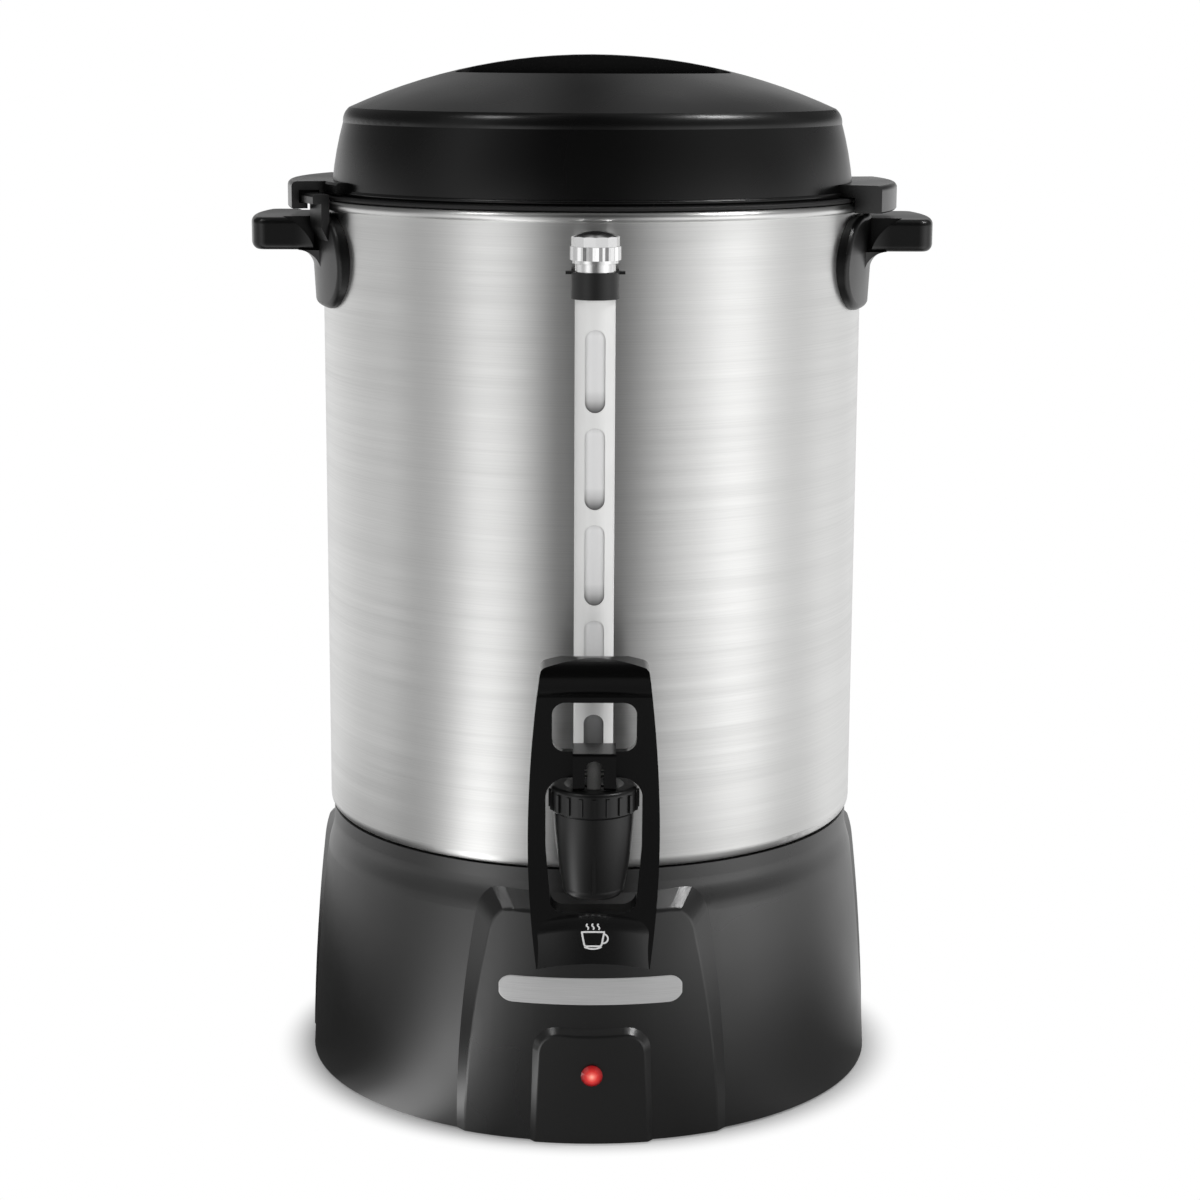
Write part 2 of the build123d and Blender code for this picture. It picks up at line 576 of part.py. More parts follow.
def indicator_lens():
    """Red jewel, its domed face proud of the pad and its barrel through the wall."""
    face_y = LENS_SINK - LAMP_PAD_R
    barrel = along_y(Circle(LENS_R - LENS_LIP), face_y, face_y + LENS_L)
    dome = turned([*path((LENS_R, 0), (0, 0), (0, LENS_DOME)),
                   ThreePointArc((0, LENS_DOME), (LENS_R * 0.66, LENS_DOME * 0.73), (LENS_R, 0))])
    jewel = Pos(0, face_y, 0) * Rot(90, 0, 0) * dome
    return Pos(0, 0, LENS_Z) * (barrel + jewel)


def neon_lamp():
    """Neon indicator lamp behind the jewel, with its two leads moulded in a sleeve."""
    start = LENS_SINK - LAMP_PAD_R + LENS_L + SEAT
    bulb = along_y(Circle(2.8), start, start + 10)
    sleeve = along_y(Circle(3.4), start + 10, start + 24)
    return Pos(0, 0, LENS_Z) * (bulb + sleeve)


def power_inlet():
    """Appliance inlet at the back: flange, shroud and hollow for the plug."""
    opening = Polygon((-INLET_W / 2, -INLET_H / 2), (INLET_W / 2, -INLET_H / 2),
                      (INLET_W / 2, INLET_H / 2 - INLET_KEY), (INLET_W / 2 - INLET_KEY, INLET_H / 2),
                      (INLET_KEY - INLET_W / 2, INLET_H / 2), (-INLET_W / 2, INLET_H / 2 - INLET_KEY),
                      align=None)
    front_y = INLET_FACE_Y + INLET_FLANGE_T
    shroud = Rectangle(INLET_W + 2 * INLET_WALL, INLET_H + 2 * INLET_WALL)
    flange = RectangleRounded(INLET_FLANGE_W, INLET_FLANGE_H, 3)
    inlet = along_y(shroud, INLET_BACK_Y, INLET_FACE_Y + SEAT)
    inlet += along_y(flange, INLET_FACE_Y + SEAT, front_y)
    inlet -= along_y(opening, front_y - INLET_DEPTH, front_y + 1)
    for x, z in INLET_PINS:
        inlet -= along_y(Rectangle(BLADE_PIN_W, BLADE_PIN_H), INLET_BACK_Y - 1, front_y, x, z)
    return Pos(0, 0, INLET_Z) * inlet


def inlet_pins():
    """Three contact blades of the inlet."""
    tip_y = INLET_FACE_Y + INLET_FLANGE_T - 3.5
    blade = Rectangle(BLADE_PIN_W, BLADE_PIN_H)
    return [along_y(blade, INLET_BACK_Y - 8, tip_y, x, INLET_Z + z) for x, z in INLET_PINS]


def terminal_block():
    """Terminal block on the bottom plate, with a row of screw wells."""
    floor_z = PLATE_Z + PLATE_T
    block = Pos(0, TERMINAL_Y, floor_z + TERMINAL_H / 2) * Box(TERMINAL_W, TERMINAL_D, TERMINAL_H)
    for k in range(4):
        x = (k - 1.5) * TERMINAL_W / 4
        block -= rod(SCREW_R + 0.4, floor_z + 4, floor_z + TERMINAL_H + 1, (x, TERMINAL_Y))
    return block


# ---- heaters under the tank -------------------------------------------------------------------
def heating_well():
    """Steel cup let into the tank's floor, flanged above and threaded below."""
    flange_z = TANK_FLOOR_Z + GASKET_T
    return lathe((0, WELL_BOTTOM_Z), (WELL_R, WELL_BOTTOM_Z), (WELL_R, flange_z),
                 (WELL_FLANGE_R, flange_z), (WELL_FLANGE_R, flange_z + METAL_T),
                 (WELL_R - METAL_T, flange_z + METAL_T), (WELL_R - METAL_T, WELL_BOTTOM_Z + METAL_T),
                 (0, WELL_BOTTOM_Z + METAL_T))


def well_gasket():
    return tube(WELL_R + SEAT, WELL_FLANGE_R - 1, TANK_FLOOR_Z, TANK_FLOOR_Z + GASKET_T)


def well_nut():
    """Thin hexagonal nut that pulls the well down on its gasket."""
    face = RegularPolygon(WELL_FLANGE_R, 6) - Circle(WELL_R + SEAT)
    return Pos(0, 0, TANK_BOTTOM_Z - NUT_H) * extrude(face, NUT_H)


def perk_heater():
    """Cup-shaped heater pushed onto the well."""
    bottom, top = WELL_BOTTOM_Z - HEATER_T, WELL_BOTTOM_Z + HEATER_H - HEATER_T - SEAT
    outer = WELL_R + HEATER_T
    cup = lathe((0, bottom), (outer - 1.5, bottom), (outer, bottom + 1.5), (outer, top),
                (WELL_R + SEAT, top), (WELL_R + SEAT, WELL_BOTTOM_Z), (0, WELL_BOTTOM_Z))
    for x in (-9, 9):
        cup += Pos(x, outer - 1, bottom + 5) * Box(5, 8, 0.8)
    return cup


def warmer_element():
    """Open ring of sheathed element pressed to the tank's floor, its ends turned down."""
    height = TANK_BOTTOM_Z - WARMER_R
    bend = Pos(0, 0, height) * Rot(0, 0, 105) * revolve(
        Plane.XZ * (Pos(WARMER_RING_R, 0) * Circle(WARMER_R)), Axis.Z, 330)
    for angle in (105, 75):
        bend += rod(WARMER_R - 0.5, height - WARMER_DROP, height, polar(WARMER_RING_R, angle))
    return bend


def thermostat():
    """Disc thermostat on the tank's floor, with two tabs."""
    at = (THERMOSTAT_X, 0)
    body = rod(THERMOSTAT_R, TANK_BOTTOM_Z - THERMOSTAT_H, TANK_BOTTOM_Z, at)
    for x in (-4, 4):
        body += Pos(at[0] + x, 0, TANK_BOTTOM_Z - THERMOSTAT_H - 3) * Box(0.8, 6, 8)
    return body


def thermal_fuse():
    """One-shot fuse held along the tank's floor."""
    body = Rot(0, 90, 0) * Cylinder(FUSE_R, FUSE_L)
    leads = Rot(0, 90, 0) * Cylinder(0.6, FUSE_L + 24)
    return Pos(-THERMOSTAT_X, 0, TANK_BOTTOM_Z - FUSE_R) * (body + leads)


# ---- handles ----------------------------------------------------------------------------------
def handle():
    """Right-hand handle: leg against the tank, grip, hollow shoulders at its root, lid catch."""
    inner, toe_r = TANK_R + SEAT, TANK_R + LEG_TOE_T
    leg = lathe((inner, LEG_BOTTOM_Z), (toe_r, LEG_BOTTOM_Z), (LEG_R, GRIP_BOTTOM_Z), (LEG_R, LEG_TOP_Z),
                (inner, LEG_TOP_Z), arc=80, start=-40)
    face = Pos(0, (LEG_TOP_Z + LEG_BOTTOM_Z) / 2) * SlotOverall(2 * LEG_HALF, LEG_H - 0.1)
    leg &= radial(face, TANK_R / 2, GRIP_R, 0, 0)
    middles = [(edge, edge.position_at(0.5)) for edge in leg.edges()]
    leg = fillet([edge for edge, middle in middles if Vector(middle.X, middle.Y).length > toe_r - 0.1], LEG_EDGE_R)

    root_x = sqrt(TANK_R ** 2 - LEG_HALF ** 2)
    flare_x = root_x + GRIP_FLARE
    corner = sqrt(GRIP_R ** 2 - GRIP_HALF ** 2)
    plan = make_face([
        TangentArc((flare_x, GRIP_HALF), (root_x, LEG_HALF - 3), tangent=(-1, 0)),
        TangentArc((flare_x, -GRIP_HALF), (root_x, 3 - LEG_HALF), tangent=(-1, 0)),
        Line((flare_x, GRIP_HALF), (corner, GRIP_HALF)),
        ThreePointArc((corner, GRIP_HALF), (GRIP_R, 0), (corner, -GRIP_HALF)),
        Line((corner, -GRIP_HALF), (flare_x, -GRIP_HALF)),
        Line((root_x, LEG_HALF - 3), (root_x, 3 - LEG_HALF))])
    plan = fillet(plan.vertices().group_by(Axis.X)[-1], GRIP_CORNER_R)
    grip = Pos(0, 0, GRIP_BOTTOM_Z) * extrude(plan, GRIP_T)
    rims = grip.edges().filter_by(Plane.XY).group_by(Axis.Z)
    outer_rims = [edge for level in (rims[0], rims[-1]) for edge in level if edge.center().X > root_x + 1]
    grip = fillet(outer_rims, GRIP_EDGE_R)
    brow, hollow_z = LEG_R + SHOULDER_W, GRIP_TOP_Z - SHOULDER_DEPTH
    hollow = turned([
        ThreePointArc((brow, GRIP_TOP_Z), (LEG_R + SHOULDER_W * 0.44, GRIP_TOP_Z - SHOULDER_DEPTH * 0.4),
                      (LEG_R + 2, hollow_z + 1)),
        ThreePointArc((LEG_R + 2, hollow_z + 1), (LEG_R + 0.7, hollow_z + 0.4), (LEG_R - 0.2, hollow_z + 1.6)),
        *path((LEG_R - 0.2, hollow_z + 1.6), (LEG_R - 0.2, GRIP_TOP_Z + 5), (brow, GRIP_TOP_Z + 5),
              (brow, GRIP_TOP_Z))], 40)
    grip -= [Rot(0, 0, SHOULDER_ANGLE) * hollow, Rot(0, 0, -SHOULDER_ANGLE - 40) * hollow]
    root = turned([*path((LEG_R + GRIP_ROOT_R, GRIP_BOTTOM_Z), (LEG_R - 2, GRIP_BOTTOM_Z),
                         (LEG_R - 2, GRIP_BOTTOM_Z - GRIP_ROOT_R), (LEG_R - 0.5, GRIP_BOTTOM_Z - GRIP_ROOT_R)),
                   ThreePointArc((LEG_R - 0.5, GRIP_BOTTOM_Z - GRIP_ROOT_R),
                                 (LEG_R + GRIP_ROOT_R * 0.3, GRIP_BOTTOM_Z - GRIP_ROOT_R * 0.3),
                                 (LEG_R + GRIP_ROOT_R, GRIP_BOTTOM_Z))], 60, -30)
    root &= Pos(0, 0, GRIP_BOTTOM_Z - 20) * extrude(plan, 40)
    body = leg + grip + root - rod(inner, LEG_BOTTOM_Z - 5, LEG_TOP_Z + 5)

    nose_z, post_in, foot_z = CATCH_TOP_Z - CATCH_NOSE_T, LEG_R - 0.7, LEG_TOP_Z - CATCH_FOOT_DROP
    post_r = post_in + CATCH_POST_T
    body += lathe((post_in, foot_z), (post_r, foot_z + 2 * CATCH_POST_T), (post_r, nose_z), (CATCH_R, nose_z),
                  (CATCH_R, CATCH_TOP_Z - 1), (CATCH_R - 1, CATCH_TOP_Z), (post_in, CATCH_TOP_Z),
                  arc=CATCH_END_ANGLE - CATCH_START_ANGLE, start=CATCH_START_ANGLE)
    for angle in HANDLE_SCREW_ANGLES:
        body -= radial(Circle(INSERT_R + SEAT), TANK_R - 1, LEG_R + INSERT_L, angle, HANDLE_SCREW_Z)
        body -= radial(Circle(SCREW_R + SEAT), TANK_R - 1, LEG_R + INSERT_L + 4, angle, HANDLE_SCREW_Z)
    return body


def handle_inserts():
    """Threaded brass inserts moulded into both handles."""
    insert = Circle(INSERT_R) - Circle(SCREW_R + SEAT)
    return [radial(insert, TANK_R + 0.4, LEG_R + INSERT_L, side + angle, HANDLE_SCREW_Z)
            for side in (0, 180) for angle in HANDLE_SCREW_ANGLES]


def handle_screws():
    """Screws through the tank's wall from inside into the handles' inserts."""
    flat = TANK_IN_R * cos(SCREW_HEAD_R / TANK_IN_R) - SEAT
    return [radial(Circle(SCREW_R), flat - 1, LEG_R + INSERT_L + 2, side + angle, HANDLE_SCREW_Z)
            + radial(Circle(SCREW_HEAD_R), flat - SCREW_HEAD_T, flat, side + angle, HANDLE_SCREW_Z)
            for side in (0, 180) for angle in HANDLE_SCREW_ANGLES]


# ---- sight gauge ------------------------------------------------------------------------------
def at_gauge(piece):
    return Pos(0, GAUGE_Y, 0) * piece


def gauge_tube():
    return at_gauge(tube(TUBE_R - TUBE_WALL, TUBE_R, TUBE_BOTTOM_Z, TUBE_TOP_Z))


def gauge_washers():
    """Soft washers under and over the glass."""
    hole = TUBE_R - TUBE_WALL - 1
    return [at_gauge(tube(hole, TUBE_R, TUBE_BOTTOM_Z - GAUGE_WASHER_T, TUBE_BOTTOM_Z)),
            at_gauge(tube(hole, TUBE_R, TUBE_TOP_Z, TUBE_TOP_Z + GAUGE_WASHER_T))]


def gauge_shield():
    """Slotted guard: a half-round front with straight sides, open toward the tank."""
    front = Circle(SHIELD_R) + Pos(0, SHIELD_R / 2) * Rectangle(2 * SHIELD_R, SHIELD_R)
    inside = SHIELD_R - SHIELD_T
    front -= Circle(inside) + Pos(0, SHIELD_R / 2 + 1) * Rectangle(2 * inside, SHIELD_R + 2)
    bottom, top = SOCKET_TOP_Z + RUN, CLIP_TOP_Z - 1.5
    shield = Pos(0, 0, bottom) * extrude(front, top - bottom)
    for k in range(SLOT_COUNT):
        middle = SLOT_TOP_Z - SLOT_H / 2 - k * SLOT_PITCH
        shield -= along_y(Rot(0, 0, 90) * SlotOverall(SLOT_H, SLOT_W), -2 * SHIELD_R, 0, z=middle)
    return at_gauge(shield)


def gauge_clip():
    """Band that holds shield and glass, its foot against the tank."""
    ring = Circle(CLIP_R) + Pos(0, CLIP_R / 2) * Rectangle(2 * CLIP_R, CLIP_R)
    hole = Circle(SHIELD_R + SEAT) + Pos(0, SHIELD_R / 2) * Rectangle(2 * (SHIELD_R + SEAT), SHIELD_R)
    clip = at_gauge(Pos(0, 0, CLIP_BOTTOM_Z) * extrude(ring - hole, CLIP_H))
    clip += along_y(Rectangle(2 * CLIP_R, CLIP_H), GAUGE_Y + SHIELD_R, -TANK_R + 6, z=CLIP_SCREW_Z)
    clip += Pos(0, GAUGE_Y + 2, CLIP_TOP_Z - 0.5) * (
        Box(2 * CLIP_EAR_R, 5, 1) - Box(2 * CLIP_R - 1, 6, 2))
    clip -= rod(TANK_R + SEAT, CLIP_BOTTOM_Z - 1, CLIP_TOP_Z + 1)
    return clip - radial(Circle(SCREW_R + SEAT), TANK_R - 5, TANK_R + 12, FRONT, CLIP_SCREW_Z)


def clip_screw():
    """Screw from inside the tank into the clip's foot."""
    flat = TANK_IN_R * cos(SCREW_HEAD_R / TANK_IN_R) - SEAT
    screw = radial(Circle(SCREW_R), flat - 1, TANK_R + 5, FRONT, CLIP_SCREW_Z)
    return screw + radial(Circle(SCREW_HEAD_R), flat - SCREW_HEAD_T, flat, FRONT, CLIP_SCREW_Z)


def gauge_fitting():
    """Bright collar on the end of the glass, threaded for the cap."""
    hole = TUBE_R + SEAT
    return at_gauge(lathe(
        (hole, CLIP_TOP_Z + SEAT), (SHIELD_R, CLIP_TOP_Z + SEAT), (SHIELD_R, CAP_BOTTOM_Z - RUN),
        (SHIELD_R - 0.6, CAP_BOTTOM_Z - RUN), (SHIELD_R - 0.6, FITTING_TOP_Z), (hole, FITTING_TOP_Z)))


def gauge_cap():
    """Faceted screw cap with a knurled skirt."""
    cap = rod(CAP_R - 0.1, CAP_BOTTOM_Z, KNURL_BOTTOM_Z)
    tips = []
    for k in range(KNURLS):
        tips += [polar(KNURL_R, k * 360 / KNURLS), polar(KNURL_R - 0.5, (k + 0.5) * 360 / KNURLS)]
    cap += Pos(0, 0, KNURL_BOTTOM_Z) * extrude(Polygon(*tips, align=None), KNURL_H)
    shoulder_z = CAP_TOP_Z - 1.9
    facets = Pos(0, 0, KNURL_TOP_Z) * extrude(RegularPolygon(CAP_R + 0.3, 12), CAP_TOP_Z - KNURL_TOP_Z)
    crown = turned([*path((CAP_R + 1, KNURL_TOP_Z), (CAP_R + 1, shoulder_z - 1), (CAP_R - 0.9, shoulder_z)),
                    ThreePointArc((CAP_R - 0.9, shoulder_z), (CAP_R / 2, CAP_TOP_Z - 0.5), (0, CAP_TOP_Z)),
                    *path((0, CAP_TOP_Z), (0, KNURL_TOP_Z), (CAP_R + 1, KNURL_TOP_Z))])
    cap += facets & crown
    return at_gauge(cap - rod(SHIELD_R - 0.5, CAP_BOTTOM_Z - 1, FITTING_TOP_Z + RUN))


# ---- faucet -----------------------------------------------------------------------------------
def at_faucet(piece):
    return Pos(0, FAUCET_Y, 0) * piece


def faucet_body():
    """Spout with its valve chamber, shank through the tank and socket for the gauge glass."""
    lip_z = SPOUT_BOTTOM_Z + SPOUT_LIP_R
    lip_r = SPOUT_BOTTOM_R + SPOUT_LIP_R * 0.75
    spout = at_faucet(turned([
        *path((0, THREAD_TOP_Z), (0, SPOUT_BOTTOM_Z), (SPOUT_BOTTOM_R, SPOUT_BOTTOM_Z)),
        ThreePointArc((SPOUT_BOTTOM_R, SPOUT_BOTTOM_Z), (SPOUT_BOTTOM_R + SPOUT_LIP_R * 0.54, lip_z - 2.6),
                      (lip_r, lip_z)),
        ThreePointArc((lip_r, lip_z), (SPOUT_BELLY_R, (lip_z + SPOUT_TOP_Z) / 2 - 1),
                      (SPOUT_TOP_R, SPOUT_TOP_Z)),
        *path((SPOUT_TOP_R, SPOUT_TOP_Z), (THREAD_R, SPOUT_TOP_Z), (THREAD_R, THREAD_TOP_Z),
              (0, THREAD_TOP_Z))]))
    rib_top = SPOUT_TOP_Z - 8
    rib = Pos(0, FAUCET_Y - SPOUT_BELLY_R + 2, (lip_z + rib_top) / 2) * Rot(-4.4, 0, 0)
    spout += rib * Box(1.4, 5.2, rib_top - lip_z)
    body = spout + along_y(Circle(SHANK_R + 2.5), FAUCET_Y, SHANK_FLANGE_Y, z=SHANK_Z)
    body += along_y(Circle(SHANK_FLANGE_R), SHANK_FLANGE_Y - 3, SHANK_FLANGE_Y, z=SHANK_Z)
    body += along_y(Circle(SHANK_R), SHANK_FLANGE_Y, SHANK_END_Y, z=SHANK_Z)
    body += at_gauge(rod(TUBE_R + 3.2, SHANK_Z, SOCKET_TOP_Z))
    body -= at_gauge(rod(TUBE_R + SEAT, TUBE_BOTTOM_Z - GAUGE_WASHER_T, SOCKET_TOP_Z + 1))
    body -= at_gauge(rod(SHANK_BORE_R - 1, SHANK_Z, TUBE_BOTTOM_Z))
    body -= along_y(Circle(SHANK_BORE_R), FAUCET_Y, SHANK_END_Y + 1, z=SHANK_Z)
    return body - at_faucet(lathe((0, SPOUT_BOTTOM_Z - 1), (OUTLET_R + 2, SPOUT_BOTTOM_Z - 1),
                                  (OUTLET_R, SPOUT_BOTTOM_Z + 3), (OUTLET_R, VALVE_SEAT_Z),
                                  (CHAMBER_R, VALVE_SEAT_Z), (CHAMBER_R, THREAD_TOP_Z + 1),
                                  (0, THREAD_TOP_Z + 1)))


def shank_gasket():
    """Saddle gasket between the faucet's flange and the tank's curved wall."""
    disc = Circle(SHANK_FLANGE_R) - Circle(SHANK_R + SEAT)
    gasket = along_y(disc, SHANK_FLANGE_Y, SHANK_FLANGE_GAP + 1 - TANK_R, z=SHANK_Z)
    return gasket - rod(TANK_R, SHANK_Z - 20, SHANK_Z + 20)


def shank_washer():
    """Washer inside the tank, curved to its wall."""
    disc = Circle(SHANK_NUT_R) - Circle(SHANK_R + SEAT)
    washer = along_y(disc, -TANK_R, SHANK_NUT_Y, z=SHANK_Z)
    return washer & rod(TANK_IN_R, SHANK_Z - 20, SHANK_Z + 20)


def shank_nut():
    face = RegularPolygon(SHANK_NUT_R, 6) - Circle(SHANK_R + SEAT)
    return along_y(face, SHANK_NUT_Y, SHANK_NUT_Y + SHANK_NUT_L, z=SHANK_Z)


def faucet_bonnet():
    """Ribbed screw collar with a dished top inside a raised rim that the lever's heel rolls on."""
    crown_z = BONNET_TOP_Z + BONNET_CROWN
    under_z = THREAD_TOP_Z + CUP_FLANGE_T + 2 * SEAT
    shell = turned([
        *path((STEM_R + 0.2, crown_z - BONNET_DISH), (STEM_R + 0.2, under_z), (THREAD_R + 0.1, under_z),
              (THREAD_R + 0.1, BONNET_Z), (BONNET_R - 0.8, BONNET_Z), (BONNET_R, BONNET_Z + 0.8),
              (BONNET_R, BONNET_TOP_Z - 0.6)),
        ThreePointArc((BONNET_R, BONNET_TOP_Z - 0.6), (BONNET_R - 0.5, crown_z - 0.5),
                      (BONNET_R - 1.6, crown_z)),
        *path((BONNET_R - 1.6, crown_z), (BONNET_DISH_R, crown_z), (STEM_R + 3, crown_z - BONNET_DISH),
              (STEM_R + 0.2, crown_z - BONNET_DISH))])
    rib_z = (BONNET_Z + BONNET_TOP_Z) / 2
    rib = Pos(BONNET_R, 0, rib_z) * Box(2 * BONNET_RIB, BONNET_RIB_W, BONNET_H - 2.4)
    shell += around(rib, [k * 360 / BONNET_RIBS for k in range(BONNET_RIBS)])
    return at_faucet(shell)


def seat_cup():
    """Silicone seat cup: its foot seals the outlet, its flange is clamped by the bonnet."""
    flange_z = THREAD_TOP_Z + SEAT
    wall = 1.5
    foot_r, mouth_r = OUTLET_R + 1.8, CHAMBER_R - 0.6
    stem_hole, foot_z = STEM_R + SEAT, VALVE_SEAT_Z + 0.2
    return at_faucet(lathe(
        (0, foot_z), (foot_r, foot_z), (foot_r, foot_z + 3), (mouth_r, flange_z),
        (THREAD_R - 0.8, flange_z), (THREAD_R - 0.8, flange_z + CUP_FLANGE_T),
        (mouth_r - wall, flange_z + CUP_FLANGE_T), (foot_r - wall, foot_z + 5.5),
        (stem_hole, foot_z + 5.5), (stem_hole, foot_z + 2.8), (0, foot_z + 2.8)))


def valve_stem():
    """Valve stem, round below the bonnet and milled to a round-topped blade for the lever's pin."""
    bottom, shoulder_z = VALVE_SEAT_Z + 3.0 + SEAT, BONNET_TOP_Z - BONNET_DISH + 0.4
    top_z = PIN_Z + BLADE_RISE
    arch_z = top_z - BLADE_W / 2
    blade = Pos(0, arch_z) * Circle(BLADE_W / 2) + Pos(0, (shoulder_z + arch_z) / 2) * Rectangle(
        BLADE_W, arch_z - shoulder_z)
    stem = rod(STEM_R, bottom, shoulder_z) + (along_y(blade, -STEM_R, STEM_R) & rod(STEM_R, bottom, top_z + 1))
    return at_faucet(stem - Pos(0, 0, PIN_Z) * Rot(0, 90, 0) * Cylinder(PIN_R + PIN_RUN, 3 * BLADE_W))


# ---- press lever ------------------------------------------------------------------------------
def lever_side(front_shift, back_shift):
    """Side view of the lever in (y, z), between its front moved back and its back moved back."""
    front = [Vector(FAUCET_Y + ahead + front_shift, PIN_Z + rise) for ahead, rise in LEVER_FRONT]
    back = [point + Vector(LEVER_DEPTH - 2 * front_shift + back_shift, 0) for point in reversed(front)]
    hood_top = Vector(FAUCET_Y - 5.5 + front_shift, LEVER_TOP_Z - front_shift)
    notch = Vector(FAUCET_Y - HOOD_ROLL - 0.8 + front_shift, PIN_Z + HOOD_NOTCH_RISE)
    brow = Vector(FAUCET_Y - HOOD_ROLL - 4.4 + front_shift, PIN_Z + HOOD_NOTCH_RISE + 7.0)
    crown = back[-1] + Vector(-1, LEVER_RISE - HOOD_NOTCH_RISE - front_shift)
    return make_face([
        Spline(*front), Line(front[-1], back[0]), Spline(*back), Line(back[-1], crown),
        Line(crown, hood_top), ThreePointArc(hood_top, brow, notch), Line(notch, front[0])])


def lever_face(inset):
    """Front view of the lever in (x, z), moved in by the inset."""
    half = LEVER_HALF_W - inset
    side = [Vector(half - LEVER_HEAD_IN, LEVER_TOP_Z - LEVER_HEAD_DROP - inset),
            Vector(half - LEVER_NECK_IN, PIN_Z + HOOD_NOTCH_RISE), Vector(half - 1.0, PIN_Z + 3.0),
            Vector(half, PIN_Z - LEVER_WIDEST_DROP), Vector(half - LEVER_FOOT_IN, LEVER_BOTTOM_Z + inset)]
    left = [Vector(-point.X, point.Y) for point in side]
    crown = ThreePointArc(left[0], (0, LEVER_TOP_Z - inset), side[0])
    face = make_face([crown, Spline(*side), Line(side[-1], left[-1]), Spline(*reversed(left))])
    return fillet(face.vertices().group_by(Axis.Y)[-1], 3)


def lever():
    """Press lever: hood, hand window, gate round the faucet, cup pad, and the yoke on the stem."""
    wide = 2 * LEVER_HALF_W + 10
    plate = Pos(-wide / 2, 0, 0) * extrude(Plane.YZ * lever_side(0, 0), wide)
    body = plate & along_y(lever_face(0), FAUCET_Y - 40, FAUCET_Y + 40)
    pocket = Pos(-wide / 2, 0, 0) * extrude(Plane.YZ * lever_side(LEVER_SKIN, 20), wide)
    pocket &= along_y(lever_face(LEVER_FLANGE), FAUCET_Y - 40, FAUCET_Y + 60)
    above_pad = rod(4 * LEVER_HALF_W, GATE_BOTTOM_Z + LEVER_SKIN, LEVER_TOP_Z, (0, FAUCET_Y))
    body -= pocket & above_pad
    window = Pos(0, WINDOW_Z) * RectangleRounded(WINDOW_W, WINDOW_H, WINDOW_CORNER_R)
    body -= along_y(window, FAUCET_Y - 40, FAUCET_Y + 40)
    gate_top, foot = PIN_Z - GATE_TOP_DROP, GATE_HALF_W - GATE_DRAFT
    gate = Polygon((-foot, GATE_BOTTOM_Z), (foot, GATE_BOTTOM_Z), (GATE_HALF_W, SHANK_Z),
                   (GATE_HALF_W, gate_top), (-GATE_HALF_W, gate_top), (-GATE_HALF_W, SHANK_Z), align=None)
    gate = fillet(gate.vertices().group_by(Axis.Y)[0], GATE_CORNER_R)
    gate = fillet(gate.vertices().group_by(Axis.Y)[-1], GATE_CROWN_R)
    body -= along_y(gate, FAUCET_Y - 40, FAUCET_Y + 40)
    pad_y = FAUCET_Y + LEVER_FRONT[-1][0] + LEVER_DEPTH - PAD_T
    cup = rod(CUP_R, LEVER_BOTTOM_Z - 20, GATE_BOTTOM_Z, (0, pad_y - CUP_R))
    body -= fillet(cup.edges().group_by(Axis.Z)[-1], CUP_BLEND_R)

    heel_y, back_y = FAUCET_Y - YOKE_REACH, FAUCET_Y + YOKE_BACK
    yoke = Pos(0, (heel_y + back_y) / 2, (HEEL_Z + YOKE_TOP_Z) / 2) * Box(
        YOKE_W, back_y - heel_y, YOKE_TOP_Z - HEEL_Z)
    body += fillet(yoke.edges().filter_by(Axis.X), 1.2)
    arch_z = YOKE_TOP_Z - YOKE_ROOF - YOKE_SLOT_W / 2
    slot = Pos(0, arch_z) * Circle(YOKE_SLOT_W / 2) + Pos(0, arch_z - 15) * Rectangle(YOKE_SLOT_W, 30)
    body -= along_y(slot, FAUCET_Y - 30, FAUCET_Y + 30)
    return body - Pos(0, FAUCET_Y, PIN_Z) * Rot(0, 90, 0) * Cylinder(PIN_R + SEAT / 5, 2 * YOKE_W)


def lever_pin():
    return Pos(0, FAUCET_Y, PIN_Z) * Rot(0, 90, 0) * Cylinder(PIN_R, YOKE_W - 0.4)


# ---- percolating parts ------------------------------------------------------------------------
def pump_stem():
    """Lift tube with a bell foot in the heating well and a collar under the basket."""
    floor_z = WELL_BOTTOM_Z + METAL_T + RUN
    shoulder_z, neck_z = floor_z + BELL_H - 4, floor_z + BELL_H
    bore = LIFT_TUBE_R - LIFT_TUBE_WALL
    return lathe(
        (BELL_R - 3, floor_z), (BELL_R, floor_z), (BELL_R, shoulder_z), (LIFT_TUBE_R, neck_z),
        (LIFT_TUBE_R, BASKET_BOTTOM_Z - 4 - RUN), (LIFT_TUBE_R + COLLAR_W, BASKET_BOTTOM_Z - 2 - RUN),
        (LIFT_TUBE_R + COLLAR_W, BASKET_BOTTOM_Z - RUN), (LIFT_TUBE_R, BASKET_BOTTOM_Z - RUN),
        (LIFT_TUBE_R, LIFT_TUBE_TOP_Z), (bore, LIFT_TUBE_TOP_Z), (bore, neck_z - 1),
        (BELL_R - 1, shoulder_z - 1), (BELL_R - 1, floor_z + 1), (BELL_R - 3, floor_z + 1))


def pump_washer():
    """Loose valve washer inside the bell, which flutters as the water boils."""
    floor_z = WELL_BOTTOM_Z + METAL_T + RUN + 1
    return tube(2, BELL_R - 1.3, floor_z, floor_z + 0.8)


def slits(radius, count, bottom, top):
    """Ring of radial slits, as cutters."""
    slit = Pos(radius, 0, (bottom + top) / 2) * Box(PERFORATION_L, PERFORATION_W, top - bottom)
    return around(slit, [k * 360 / count for k in range(count)])


